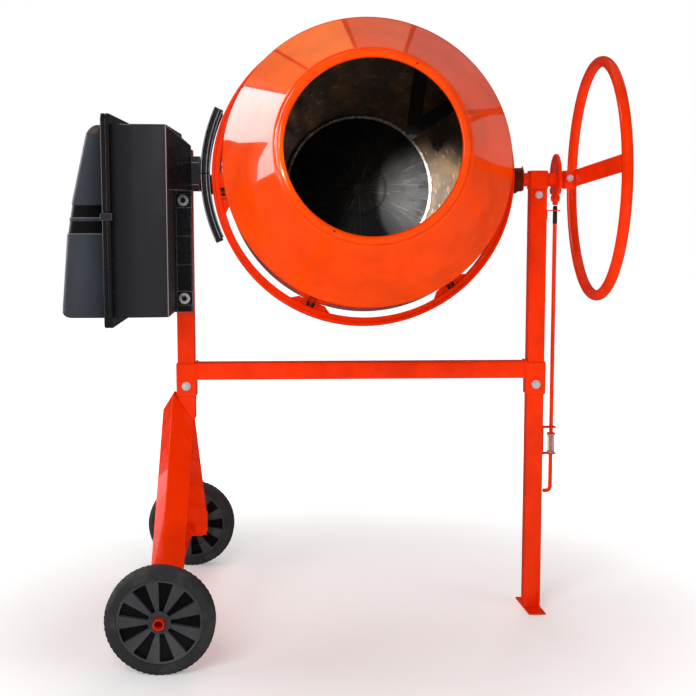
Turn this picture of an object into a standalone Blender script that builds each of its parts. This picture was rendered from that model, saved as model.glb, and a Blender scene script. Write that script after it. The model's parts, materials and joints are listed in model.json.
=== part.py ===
"""Tilting-drum concrete mixer: steel stand on two wheels and a leg, yoke, drum and belt drive.

Metres, +Z up. X runs from the motor box (-X) to the handwheel (+X), and the drum's mouth faces -Y.
Pieces are modelled in the frame of the empty that carries them. "tilt_axis" has its Z along the drum's
axis and its X along the tilt pivot, so yoke and drum pieces are written with Z towards the mouth.
"""

import math

import bmesh
import bpy
import numpy as np
from mathutils import Vector

# Fits
GAP = 0.0003            # between pieces that touch
RUNNING = 0.0004        # round a shaft that turns in its hole
CLEARANCE = 0.003       # between pieces that pass each other

# Drum, distances along its axis from the tilt pivot
REST_TILT = 7.44        # degrees that the mouth points up at rest
DRUM_RADIUS = 0.295
DRUM_WALL = 0.003
MOUTH_AXIAL = 0.420
MOUTH_RADIUS = 0.186
BEAD_RADIUS = 0.008
CONE_AXIAL = 0.240
SKIRT_AXIAL = 0.066
SEAM_LAP = 0.024
BASE_AXIAL = -0.139
BASE_RADIUS = 0.166
BASE_FOLD = 0.026       # of the lower drum's flange under the base disc
HUB_LENGTH = 0.043
HUB_FLANGE_RADIUS = 0.055
HUB_RADIUS = 0.030
HUB_BEARING_RADIUS = 0.020
BASE_BOLT_RADIUS = 0.006
SPINDLE_RADIUS = 0.0125
SPINDLE_NECK_RADIUS = 0.010
SPINDLE_SINK = 0.0095   # of the spindle's tip below the base disc
BLADE_WIDTH = 0.030
BLADE_THICKNESS = 0.004
BLADE_REACH = 0.145     # of a blade's point from the drum's axis
BLADE_SPREAD = 26.0     # degrees between a blade's two feet
BLADE_FOOT = 0.034
BLADE_TURNS = (("mixing_blade_a", 38.0), ("mixing_blade_b", 218.0))
DRUM_SEGMENTS = 48

# Crown gear and pinion
PINION_TEETH = 12
RING_TEETH = 108
RING_STANDOFF = 0.0135  # of the ring's inside from the skirt
RING_FACE = 0.0175
RING_RISE = 0.017       # of the ring's front above the skirt's edge
ADDENDUM = 0.0042
DEDENDUM = 0.0056
PRESSURE_ANGLE = 25.0
TOOTH_SHARE = 0.40      # of the pitch, at the pitch line
LUGS = 6
LUG_TURN = 7.5          # degrees of the first lug
SHAFT_RADIUS = 0.010
PINION_BEARING_RADIUS = 0.0172
GUARD_SWEEP = 24.0      # degrees each side of the pinion
GUARD_PROUD = 0.0116    # of the guards' outside from the arm's inner face
GUARD_DEPTH = 0.018
GUARD_WALL = 0.0035
GUARD_LIP = 0.020
GUARD_RISE = 0.007      # of the guards' front over the ring's

# Yoke, tilt lock and handwheel
ARM_CLEARANCE = 0.012   # between the ring and an arm
ARM_THICK = 0.018
ARM_WIDE = 0.040
ARM_SETBACK = 0.017     # between an arm and its upright
EYE_RADIUS = 0.026
EAR_PLATE = (0.003, 0.016, 0.030, 0.024)    # thickness, half width, tip above and tip below the pivot
YOKE_CLEARANCE = 0.0117     # between the hub and the yoke
YOKE_BEND = 0.070
HOLLOW_AXLE_RADIUS = 0.0195
TILT_TUBE_RADIUS = 0.015
TILT_TUBE_WALL = 0.003
LOCK_DISC_RADIUS = 0.057
LOCK_DISC_WIDTH = 0.006
LOCK_STEP = 25.0        # degrees between lock positions
LOCK_STEPS = (2, 1, 0, -1, -2, -3)    # of the tilt, from tipping out to mouth up
NOTCH_WIDTH = 0.0116
NOTCH_DEPTH = 0.0125
LOCK_ROD_RADIUS = 0.0045
LOCK_TIP_RADIUS = 0.005
LOCK_TRAVEL = 0.011
EAR = 0.0025            # thickness of the rod's bracket and guide
BRACKET_HEIGHT = 0.063
BRACKET_DROP = 0.1325   # of the bracket's top below the crossbar
ROD_TAIL = 0.086        # of the rod's foot below its bracket
SPRING_TURNS = 7
SPRING_WIRE = 0.0012
SPRING_RADIUS = 0.0078
WHEEL_RING_RADIUS = 0.257
WHEEL_RING_TUBE = 0.0125
WHEEL_RING_SEGMENTS = 44
WHEEL_HUB_RADIUS = 0.0205
WHEEL_BOLT_HOLE = 0.0043
SPOKE_HEIGHT = 0.036
SPOKE_THICKNESS = 0.005
SPOKE_FLAT = 0.030      # of the spoke each side of its hub

# Stand
TUBE = 0.038            # square tube of uprights and crossbar
TUBE_WALL = 0.0025
PIVOT_HEIGHT = 0.980
CROSSBAR_ROOM = 0.1295  # between the drum's side and the crossbar's middle
UPRIGHT_TAIL = 0.1055   # of the left upright below the crossbar's middle
CLAMP_WALL = 0.003
CLAMP_HEIGHT = 0.073
CLAMP_RISE = 0.0175     # of the clamps above the crossbar's middle
CLAMP_BOLT_DROP = 0.0325
BOLT_HOLE = 0.0055
FOOT_LENGTH = 0.122
FOOT_THICKNESS = 0.004
FOOT_SKEW = 0.005       # of each end of the foot plate, sideways
FOOT_RIB = 0.003
FOOT_RIB_HEIGHT = 0.034
BEARING_BLOCK_LOW = 0.0235  # of the left bearing block's underside below the pivot
BEARING_BLOCK_HIGH = 0.065
BEARING_BLOCK_DEPTH = 0.060
BEARING_COVER = (0.076, 0.062, 0.012, 0.014)    # height, depth, rise of its middle and corner
CAP_DROP = 0.0215       # of the right cap's underside below the pivot
CAP_RISE = 0.020
CAP_WIDTH = 0.040
CAP_DEPTH = 0.042
CAP_BOLT_DROP = 0.0335

# Wheels
WHEEL_RADIUS = 0.1094
WHEEL_WIDTH = 0.040
WHEEL_TRACK = 0.760     # between the wheels' middle planes
TYRE_DEPTH = 0.024
TYRE_EDGE = 0.005
AXLE_RADIUS = 0.0108
AXLE_WALL = 0.002
AXLE_OVERHANG = 0.016
AXLE_OFFSET = 0.0265    # of the axle's X outside the left upright's centre
LEG_PLATE = 0.003
LEG_WEB = 0.0435
LEG_FLANGE = 0.0225
LEG_PROUD = 0.010       # of the leg's fold outside the left upright
LEG_RISE = 0.006        # of the leg's tip over the clamp's underside
LEG_CUT = 0.060         # that the web's top edge falls across its width
FLANGE_CUT = 0.037      # that the flange's top edge falls across its width
AXLE_PLATE = (0.078, 0.079, 0.012)    # height, width and clipped corner
AXLE_PLATE_SHIFT = (0.016, 0.0045)    # of its middle above the axle and inwards

# Motor box, distances along X from the left upright's centre
BOX_DEPTH = 0.360
BOX_FLANGE = 0.020
BOX_RISE = 0.110        # of its top above the pivot
BOX_HEIGHT = 0.400
BOX_CORNER = 0.012
BOX_SPLIT = 0.1425
BOX_LIP = 0.0082
BOX_WALL = 0.003
PULLEY_OFFSET = 0.066
PULLEY_GROOVE = 0.078
MOTOR_PULLEY_GROOVE = 0.0165
MOTOR_SHAFT_RADIUS = 0.007
PULLEY_FLANGE = 0.005
PULLEY_WIDTH = 0.016
BELT_WIDTH = 0.009
BELT_THICKNESS = 0.006
MOTOR_ROOM = 0.085      # below the motor's axis
MOTOR_RADIUS = 0.058
MOTOR_LENGTH = 0.105
MOTOR_SETBACK = 0.024   # of the motor's plate from the belt
WING_THICK = 0.012
BOX_BOLT_DROP = 0.046   # of the upper bolt below the pivot
BOX_BOLT_RISE = 0.030   # of the lower bolt above the box's underside
# Height below the box's top or above its underside, and reach from the split, of the cover's outer face
COVER_TOP = ((0.004, 0.0385), (0.164, 0.075), (0.225, 0.085))
COVER_BOTTOM = ((0.093, 0.094), (0.010, 0.099), (0.0, 0.0935))
CLIP_DROP = 0.080       # of the clip's middle below the pivot
CLIP_HEIGHT = 0.014
SWITCH_OFFSET = 0.083
SWITCH_DEPTH = 0.012
START_DROP = 0.050
STOP_DROP = 0.078
INLET_DROP = 0.135
BUTTON_RADIUS = 0.010

ORANGE = ("orange_paint", (0.86, 0.17, 0.02), 0.25, 0.0)
RED_ORANGE = ("frame_paint", (0.80, 0.10, 0.015), 0.3, 0.0)
BLACK = ("black_plastic", (0.02, 0.021, 0.024), 0.45, 0.0)
RUBBER = ("rubber", (0.025, 0.025, 0.027), 0.8, 0.0)
ZINC = ("zinc_steel", (0.62, 0.64, 0.66), 0.35, 1.0)
STEEL = ("bare_steel", (0.35, 0.34, 0.33), 0.45, 1.0)
DARK_STEEL = ("dark_steel", (0.05, 0.045, 0.04), 0.5, 0.8)
GREEN = ("start_green", (0.02, 0.35, 0.08), 0.4, 0.0)
RED = ("stop_red", (0.65, 0.02, 0.02), 0.4, 0.0)

# What follows from the sizes above
HALF = TUBE / 2
PLUG = TUBE - 2 * TUBE_WALL - 2 * GAP
RING_INNER = DRUM_RADIUS + RING_STANDOFF
RING_OUTER = RING_INNER + RING_FACE
RING_FRONT = SKIRT_AXIAL + RING_RISE
PITCH_RADIUS = (RING_OUTER + RING_INNER) / 2
PINION_PITCH = PITCH_RADIUS * PINION_TEETH / RING_TEETH
ARM_INNER = RING_OUTER + ARM_CLEARANCE
ARM_X = ARM_INNER + ARM_THICK / 2
ARM_OUTER = ARM_INNER + ARM_THICK
UPRIGHT_X = ARM_OUTER + ARM_SETBACK + HALF
STAND_WIDTH = 2 * UPRIGHT_X
GUARD_OUTER = ARM_INNER + GUARD_PROUD
GUARD_FRONT = RING_FRONT + GUARD_RISE
HUB_TOP = BASE_AXIAL - DRUM_WALL - GAP
HUB_FOOT = HUB_TOP - HUB_LENGTH
SPINDLE_TIP = BASE_AXIAL - DRUM_WALL - SPINDLE_SINK
YOKE_DROP = YOKE_CLEARANCE + ARM_THICK / 2 - HUB_FOOT
LOCK_ROD_X = UPRIGHT_X + 0.0405
HUB_START_X = UPRIGHT_X + 0.057
HUB_BOLT_X = UPRIGHT_X + 0.0685
TILT_TUBE_END = UPRIGHT_X + 0.0777
SPOKE_HUB_X = UPRIGHT_X + 0.0805
WHEEL_RING_X = UPRIGHT_X + 0.1337
CROSSBAR_HEIGHT = PIVOT_HEIGHT - DRUM_RADIUS - CROSSBAR_ROOM
LEFT_UPRIGHT_LOW = CROSSBAR_HEIGHT - UPRIGHT_TAIL
CLAMP_TOP = CROSSBAR_HEIGHT + CLAMP_RISE
CLAMP_LOW = CLAMP_TOP - CLAMP_HEIGHT
CLAMP_BOLT_Z = CROSSBAR_HEIGHT - CLAMP_BOLT_DROP
CAP_BOLT_Z = PIVOT_HEIGHT - CAP_BOLT_DROP
BRACKET_HIGH = CROSSBAR_HEIGHT - BRACKET_DROP
BRACKET_LOW = BRACKET_HIGH - BRACKET_HEIGHT
LOCK_ROD_FOOT = BRACKET_LOW - ROD_TAIL
SPRING_TOP = BRACKET_HIGH - EAR - LOCK_TRAVEL - 0.0040
PULLEY_X = -UPRIGHT_X - PULLEY_OFFSET
MOTOR_DROP = BOX_HEIGHT - BOX_RISE - MOTOR_ROOM
MOTOR_FRONT = PULLEY_X - MOTOR_SETBACK
BOX_SPLIT_X = -UPRIGHT_X - BOX_SPLIT
BOX_TOP = PIVOT_HEIGHT + BOX_RISE
BOX_BOTTOM = BOX_TOP - BOX_HEIGHT
BOX_BOLT_Z = (PIVOT_HEIGHT - BOX_BOLT_DROP, BOX_BOTTOM + BOX_BOLT_RISE)
WING_X = -UPRIGHT_X + HALF - GAP
WING_TOP = PIVOT_HEIGHT - BEARING_BLOCK_LOW - 0.001
BUTTON_X = -UPRIGHT_X - SWITCH_OFFSET
SWITCH_FACE = BOX_DEPTH / 2 + SWITCH_DEPTH
START_Z = PIVOT_HEIGHT - START_DROP
STOP_Z = PIVOT_HEIGHT - STOP_DROP
INLET_Z = PIVOT_HEIGHT - INLET_DROP
EMPTIES = {}


# ---------------------------------------------------------------- building blocks


def clear_scene():
    for old in list(bpy.data.objects):
        bpy.data.objects.remove(old, do_unlink=True)


def finish_of(spec):
    """A Principled material from (name, colour, roughness, metallic), made once."""
    name, colour, roughness, metallic = spec
    material = bpy.data.materials.get(name)
    if material:
        return material
    material = bpy.data.materials.new(name)
    material.use_nodes = True
    shader = material.node_tree.nodes["Principled BSDF"]
    shader.inputs["Base Color"].default_value = (*colour, 1)
    shader.inputs["Roughness"].default_value = roughness
    shader.inputs["Metallic"].default_value = metallic
    material.diffuse_color = (*colour, 1)
    return material


def empty(name, parent=None, location=(0, 0, 0), rotation=(0, 0, 0)):
    holder = bpy.data.objects.new(name, None)
    holder.empty_display_size = 0.05
    holder.location = location
    holder.rotation_euler = rotation
    holder.parent = parent
    bpy.context.scene.collection.objects.link(holder)
    EMPTIES[name] = holder
    return holder


def place(axis, u, v, level):
    """A point (u, v) of an outline at a level along the axis, as x, y, z."""
    return {"x": (level, u, v), "y": (v, level, u), "z": (u, v, level)}[axis]


def circle(radius, centre=(0, 0), segments=24):
    turns = [math.tau * i / segments for i in range(segments)]
    return [(centre[0] + radius * math.cos(t), centre[1] + radius * math.sin(t)) for t in turns]


def hexagon(across, centre=(0, 0), segments=24):
    """A hexagon of that width across flats, with as many points as a circle of the same segments."""
    points = []
    for i in range(segments):
        turn = math.tau * i / segments
        off = (turn + math.pi / 6) % (math.pi / 3) - math.pi / 6
        radius = across / 2 / math.cos(off)
        points.append((centre[0] + radius * math.cos(turn), centre[1] + radius * math.sin(turn)))
    return points


def rectangle(wide, high, centre=(0, 0), chamfer=0.0):
    a, b = wide / 2, high / 2
    if not chamfer:
        corners = [(a, b), (-a, b), (-a, -b), (a, -b)]
    else:
        corners = []
        for sx, sy, first in ((1, 1, True), (-1, 1, False), (-1, -1, True), (1, -1, False)):
            pair = [(sx * a, sy * (b - chamfer)), (sx * (a - chamfer), sy * b)]
            corners += pair if first else pair[::-1]
    return [(centre[0] + x, centre[1] + y) for x, y in corners]


def solid(name, finish, parent, sections, ring=False):
    """One closed body through sections of equal point count; ring joins the last section to the first."""
    mesh = bmesh.new()
    rows = [[mesh.verts.new(point) for point in section] for section in sections]
    count = len(rows[0])
    pairs = list(zip(rows, rows[1:])) + ([(rows[-1], rows[0])] if ring else [])
    for low, high in pairs:
        for i in range(count):
            j = (i + 1) % count
            mesh.faces.new((low[i], low[j], high[j], high[i]))
    if not ring:
        mesh.faces.new(rows[0][::-1])
        mesh.faces.new(rows[-1])
    return from_bmesh(name, finish, parent, mesh)


def from_bmesh(name, finish, parent, mesh):
    bmesh.ops.remove_doubles(mesh, verts=mesh.verts, dist=1e-6)
    loose = [edge for edge in mesh.edges if not edge.link_faces]
    bmesh.ops.delete(mesh, geom=loose, context="EDGES")
    bmesh.ops.recalc_face_normals(mesh, faces=mesh.faces)
    data = bpy.data.meshes.new(name)
    mesh.to_mesh(data)
    mesh.free()
    if sum(p.area * p.normal.dot(p.center) for p in data.polygons) < 0:
        data.flip_normals()
    data.shade_smooth()
    data.set_sharp_from_angle(angle=math.radians(30))
    data.materials.append(finish_of(finish))
    piece = bpy.data.objects.new(name, data)
    piece.parent = EMPTIES[parent]
    bpy.context.scene.collection.objects.link(piece)
    return piece


def stacked(name, finish, parent, axis, stations, ring=False):
    """A body through outlines at levels along an axis: stations are (level, outline)."""
    sections = [[place(axis, u, v, level) for u, v in outline] for level, outline in stations]
    return solid(name, finish, parent, sections, ring)


def block(name, finish, parent, low, high):
    (x0, y0, z0), (x1, y1, z1) = low, high
    outline = [(x0, y0), (x1, y0), (x1, y1), (x0, y1)]
    return stacked(name, finish, parent, "z", [(z0, outline), (z1, outline)])


def prism(name, finish, parent, axis, outline, start, end):
    return stacked(name, finish, parent, axis, [(start, outline), (end, outline)])


def turned(name, finish, parent, axis, profile, centre=(0, 0), segments=32):
    """A closed profile of (radius, level) points turned round the axis through centre."""
    sections = []
    for i in range(segments):
        turn = math.tau * i / segments
        across, up = math.cos(turn), math.sin(turn)
        points = [(centre[0] + r * across, centre[1] + r * up, level) for r, level in profile]
        sections.append([place(axis, u, v, level) for u, v, level in points])
    return solid(name, finish, parent, sections, ring=True)


def tube_ring(name, finish, parent, axis, outer, inner, start, end, centre=(0, 0), segments=32):
    profile = [(outer, start), (outer, end), (inner, end), (inner, start)]
    return turned(name, finish, parent, axis, profile, centre, segments)


def square_tube(name, finish, parent, axis, centre, start, end, size=TUBE, wall=TUBE_WALL):
    outer = rectangle(size, size, centre)
    inner = rectangle(size - 2 * wall, size - 2 * wall, centre)
    stations = [(start, outer), (end, outer), (end, inner), (start, inner)]
    return stacked(name, finish, parent, axis, stations, ring=True)


def helper(piece):
    piece.hide_render = True
    piece.display_type = "WIRE"
    return piece


def boolean(piece, tool, operation):
    step = piece.modifiers.new(f"{operation.lower()}_{tool.name}", "BOOLEAN")
    step.operation = operation
    step.solver = "EXACT"
    step.object = helper(tool)
    return piece


def cut(piece, tool):
    return boolean(piece, tool, "DIFFERENCE")


def weld(piece, tool):
    return boolean(piece, tool, "UNION")


def drill(piece, parent, axis, radius, centre, start, end, segments=24):
    tool_name = f"hole_{len(bpy.data.objects)}"
    outline = circle(radius, centre, segments)
    return cut(piece, prism(tool_name, STEEL, parent, axis, outline, start, end))


def bolt(name, parent, axis, centre, head, tip, radius=0.005, across=0.015, washer=0.010, nut=None):
    """A hexagon bolt whose washer's seat is at level head; nut is the level where its nut starts."""
    way = math.copysign(1, tip - head)
    shank = circle(radius, centre, 12)
    disc = circle(washer, centre, 12)
    hexed = hexagon(across, centre, 12)
    stations = [(head - way * 0.0085, hexed), (head - way * 0.002, hexed), (head - way * 0.002, disc)]
    stations += [(head, disc), (head, shank)]
    if nut is not None:
        stations += [(nut, shank), (nut, hexed), (nut + way * 0.008, hexed), (nut + way * 0.008, shank)]
    stations.append((tip, shank))
    return stacked(name, ZINC, parent, axis, stations)


def swept(name, finish, parent, path, radii, segments=10):
    """A round bar along a path of points, with a radius at each."""
    path = [Vector(point) for point in path]
    tangents = []
    for i, point in enumerate(path):
        ahead = path[min(i + 1, len(path) - 1)]
        behind = path[max(i - 1, 0)]
        tangents.append((ahead - behind).normalized())
    side = tangents[0].orthogonal().normalized()
    sections = []
    for point, tangent, radius in zip(path, tangents, radii):
        side = (side - tangent * side.dot(tangent)).normalized()
        up = tangent.cross(side)
        turns = [math.tau * i / segments for i in range(segments)]
        sections.append([point + radius * (math.cos(t) * side + math.sin(t) * up) for t in turns])
    return solid(name, finish, parent, sections)


def flat_bar(name, finish, parent, path, across, width, thickness):
    """A flat bar along a path in one plane; across is the unit vector along its width."""
    path = [Vector(point) for point in path]
    across = Vector(across).normalized()
    sections = []
    for i, point in enumerate(path):
        before = (point - path[i - 1]).normalized() if i else None
        after = (path[i + 1] - point).normalized() if i + 1 < len(path) else None
        before, after = before or after, after or before
        first, second = across.cross(before).normalized(), across.cross(after).normalized()
        mitre = (first + second).normalized()
        mitre *= thickness / 2 / max(mitre.dot(first), 0.3)
        half = across * width / 2
        sections.append([point + half + mitre, point - half + mitre, point - half - mitre,
                         point + half - mitre])
    return solid(name, finish, parent, sections)


def offset_path(path, distance):
    """A polyline of (r, z) points moved to its right by that distance."""
    moved = []
    for i, point in enumerate(path):
        here = Vector(point)
        before = (here - Vector(path[i - 1])).normalized() if i else None
        after = (Vector(path[i + 1]) - here).normalized() if i + 1 < len(path) else None
        before, after = before or after, after or before
        first = Vector((before.y, -before.x))
        second = Vector((after.y, -after.x))
        mitre = (first + second).normalized()
        moved.append(tuple(here + mitre * distance / max(mitre.dot(first), 0.3)))
    return moved


# ---------------------------------------------------------------- stand


def make_empties():
    machine = empty("machine")
    tilt = empty("tilt_axis", machine, (0, 0, PIVOT_HEIGHT), (math.radians(90 - REST_TILT), 0, 0))
    empty("drum_axis", tilt)
    empty("pinion_axis", tilt)
    empty("motor_axis", machine, (0, 0, PIVOT_HEIGHT - MOTOR_DROP))
    axle_x = -UPRIGHT_X - AXLE_OFFSET
    empty("front_wheel_axis", machine, (axle_x, -WHEEL_TRACK / 2, WHEEL_RADIUS))
    empty("rear_wheel_axis", machine, (axle_x, WHEEL_TRACK / 2, WHEEL_RADIUS))
    empty("rod_axis", machine, (LOCK_ROD_X, 0, 0))
    empty("start_axis", machine, (BUTTON_X, SWITCH_FACE, START_Z))
    empty("stop_axis", machine, (BUTTON_X, SWITCH_FACE, STOP_Z))


def make_uprights():
    left = square_tube("left_upright", RED_ORANGE, "machine", "z", (-UPRIGHT_X, 0),
                       LEFT_UPRIGHT_LOW, PIVOT_HEIGHT - BEARING_BLOCK_LOW - GAP)
    right = square_tube("right_leg", RED_ORANGE, "machine", "z", (UPRIGHT_X, 0),
                        FOOT_THICKNESS + GAP, PIVOT_HEIGHT - CAP_DROP - GAP)
    for upright, side in ((left, -1), (right, 1)):
        drill(upright, "machine", "y", BOLT_HOLE, (CLAMP_BOLT_Z, side * UPRIGHT_X), -TUBE, TUBE, 12)
    for level in BOX_BOLT_Z:
        drill(left, "machine", "y", BOLT_HOLE, (level, -UPRIGHT_X), -TUBE, TUBE, 12)
    drill(right, "machine", "y", BOLT_HOLE, (CAP_BOLT_Z, UPRIGHT_X), -TUBE, TUBE, 12)


def make_foot():
    """A skewed plate under the leg, with a plug that fills the tube and a rib before and behind it."""
    left, right, half = UPRIGHT_X - HALF, UPRIGHT_X + HALF, FOOT_LENGTH / 2
    outline = [(left + FOOT_SKEW, -half), (right + FOOT_SKEW, -half), (right - FOOT_SKEW, half),
               (left - FOOT_SKEW, half)]
    foot = prism("leg_foot", RED_ORANGE, "machine", "z", outline, 0, FOOT_THICKNESS)
    inner = PLUG / 2
    within = FOOT_THICKNESS / 2
    plug = block("foot_plug", RED_ORANGE, "machine", (UPRIGHT_X - inner, -inner, within),
                 (UPRIGHT_X + inner, inner, FOOT_THICKNESS + 0.026))
    weld(foot, plug)
    for way in (-1, 1):
        start, shoulder, toe = way * (HALF + GAP), way * (HALF + 0.008), way * (half - 0.005)
        high = FOOT_THICKNESS + FOOT_RIB_HEIGHT
        outline = [(start, within), (start, high), (shoulder, high), (toe, within)]
        edge = right - FOOT_SKEW - 0.0005
        rib = prism(f"foot_rib_{way}", RED_ORANGE, "machine", "x", outline, edge - FOOT_RIB, edge)
        weld(foot, rib)


def make_crossbar():
    reach = UPRIGHT_X - HALF - CLAMP_WALL - 2 * GAP
    square_tube("crossbar", RED_ORANGE, "machine", "x", (0, CROSSBAR_HEIGHT), -reach, reach)
    for name, side in (("left_clamp", -1), ("right_clamp", 1)):
        make_clamp(name, side)


def make_clamp(name, side):
    """A sleeve round the upright with a spigot that fills the crossbar's end."""
    inner = TUBE + 2 * GAP
    sleeve = square_tube(name, RED_ORANGE, "machine", "z", (side * UPRIGHT_X, 0), CLAMP_LOW, CLAMP_TOP,
                         inner + 2 * CLAMP_WALL, CLAMP_WALL)
    face = UPRIGHT_X - HALF - GAP - CLAMP_WALL
    spigot = rectangle(PLUG, PLUG, (0, CROSSBAR_HEIGHT))
    ends = sorted((side * (face + 0.001), side * (face - 0.030)))
    weld(sleeve, prism(f"{name}_spigot", RED_ORANGE, "machine", "x", spigot, *ends))
    drill(sleeve, "machine", "y", BOLT_HOLE, (CLAMP_BOLT_Z, side * UPRIGHT_X), -TUBE, TUBE, 12)
    outside = HALF + GAP + CLAMP_WALL + GAP
    bolt(f"{name}_bolt", "machine", "y", (CLAMP_BOLT_Z, side * UPRIGHT_X), -outside,
         outside + 0.012, nut=outside)


def make_wheel_leg(name, way):
    """A folded steel leg from the upright's foot down to the axle; way is -1 in front, 1 behind."""
    plate_y = WHEEL_TRACK / 2 - WHEEL_WIDTH - 0.007
    tip = leg_section(HALF + GAP, CLAMP_LOW + LEG_RISE, way, LEG_CUT, FLANGE_CUT)
    knee = leg_section(plate_y, WHEEL_RADIUS + 0.052, way)
    foot = leg_section(plate_y, WHEEL_RADIUS - 0.020, way)
    leg = solid(name, RED_ORANGE, "machine", [tip, knee, foot])
    axle = (WHEEL_RADIUS, -UPRIGHT_X - AXLE_OFFSET)
    high, wide, corner = AXLE_PLATE
    plate = rectangle(high, wide, (axle[0] + AXLE_PLATE_SHIFT[0], axle[1] + AXLE_PLATE_SHIFT[1]), corner)
    ends = sorted((way * (plate_y + 0.0002), way * (plate_y + LEG_PLATE + 0.001)))
    weld(leg, prism(f"{name}_plate", RED_ORANGE, "machine", "y", plate, *ends))
    ends = sorted((way * (plate_y - LEG_FLANGE), way * (plate_y + WHEEL_WIDTH)))
    drill(leg, "machine", "y", AXLE_RADIUS + GAP, axle, *ends)


def leg_section(y, z, way, web_fall=0.0, flange_fall=0.0):
    """Web and splayed flange of the leg's folded profile, each falling away from the fold."""
    fold = -UPRIGHT_X - HALF - LEG_PROUD
    right = fold + LEG_WEB
    back = y - 0.8 * HALF
    outer, inner = y + LEG_PLATE, y
    points = [(fold - LEG_FLANGE, back, z - flange_fall), (fold, inner, z), (right, inner, z - web_fall),
              (right, outer, z - web_fall), (fold - 0.0012, outer, z),
              (fold - LEG_FLANGE - 0.002, back + 0.0022, z - flange_fall)]
    return [(x, way * depth, level) for x, depth, level in points]


def make_running_gear():
    make_wheel_leg("front_wheel_leg", -1)
    make_wheel_leg("rear_wheel_leg", 1)
    half = WHEEL_TRACK / 2 + WHEEL_WIDTH / 2 + AXLE_OVERHANG
    tube_ring("wheel_axle", RED_ORANGE, "machine", "y", AXLE_RADIUS, AXLE_RADIUS - AXLE_WALL, -half, half,
              (WHEEL_RADIUS, -UPRIGHT_X - AXLE_OFFSET), 24)
    for name, way in (("front", -1), ("rear", 1)):
        make_wheel(name, way)


def make_wheel(name, way):
    """A plastic rim with spokes between its hub and its band, and a tyre round it."""
    parent = f"{name}_wheel_axis"
    half = WHEEL_WIDTH / 2
    rim = WHEEL_RADIUS - TYRE_DEPTH
    bore = AXLE_RADIUS + RUNNING
    out, back = way * (half - 0.002), -way * (half - 0.002)
    hub_back = -way * (half + 0.006)
    profile = [(bore, way * half), (0.020, way * half), (0.022, out - way * 0.004),
               (rim - 0.006, out - way * 0.004),
               (rim, out), (rim, back), (rim - 0.006, back), (rim - 0.008, out - way * 0.010),
               (0.022, out - way * 0.010), (0.020, hub_back), (bore, hub_back)]
    turned(f"{name}_wheel_rim", BLACK, parent, "y", profile, segments=30)
    inner = rim + GAP
    edge = TYRE_EDGE
    tyre = [(inner, -half), (WHEEL_RADIUS - edge, -half), (WHEEL_RADIUS, -half + edge),
            (WHEEL_RADIUS, half - edge), (WHEEL_RADIUS - edge, half), (inner, half)]
    turned(f"{name}_wheel_tyre", RUBBER, parent, "y", tyre, segments=30)


def make_bearings():
    """The block that carries the yoke's hollow axle on the left, and the cap that carries its tube."""
    low = PIVOT_HEIGHT - BEARING_BLOCK_LOW
    half_depth = BEARING_BLOCK_DEPTH / 2
    housing = block("left_bearing_housing", RED_ORANGE, "machine", (-UPRIGHT_X - HALF, -half_depth, low),
                    (-UPRIGHT_X + HALF, half_depth, PIVOT_HEIGHT + BEARING_BLOCK_HIGH))
    inner = PLUG / 2
    plug = block("housing_plug", RED_ORANGE, "machine", (-UPRIGHT_X - inner, -inner, low - 0.015),
                 (-UPRIGHT_X + inner, inner, low + 0.001))
    weld(housing, plug)
    pivot = (0, PIVOT_HEIGHT)
    left, right = -UPRIGHT_X, UPRIGHT_X
    drill(housing, "machine", "x", HOLLOW_AXLE_RADIUS + RUNNING, pivot, left - TUBE, left + TUBE, 32)
    high, deep, rise, corner = BEARING_COVER
    outline = rectangle(deep, high, (0, PIVOT_HEIGHT + rise), corner)
    ends = (left + HALF + GAP, -ARM_OUTER - GAP)
    cover = prism("left_bearing_cover", BLACK, "machine", "x", outline, *ends)
    drill(cover, "machine", "x", HOLLOW_AXLE_RADIUS + CLEARANCE, pivot, left, -ARM_INNER, 32)

    low = PIVOT_HEIGHT - CAP_DROP
    wide, deep = CAP_WIDTH / 2, CAP_DEPTH / 2
    cap = block("right_bearing_cap", RED_ORANGE, "machine", (UPRIGHT_X - wide, -deep, low),
                (UPRIGHT_X + wide, deep, PIVOT_HEIGHT + CAP_RISE))
    plug = block("cap_plug", RED_ORANGE, "machine", (UPRIGHT_X - inner, -inner, low - 0.040),
                 (UPRIGHT_X + inner, inner, low + 0.001))
    weld(cap, plug)
    drill(cap, "machine", "y", BOLT_HOLE, (CAP_BOLT_Z, UPRIGHT_X), -TUBE, TUBE, 12)
    drill(cap, "machine", "x", TILT_TUBE_RADIUS + RUNNING, pivot, right - TUBE, right + TUBE, 32)
    outside = HALF + GAP
    bolt("bearing_cap_bolt", "machine", "y", (CAP_BOLT_Z, UPRIGHT_X), -outside, outside + 0.012,
         washer=0.0085, across=0.013, nut=outside)


# ---------------------------------------------------------------- tilt lock


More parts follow.
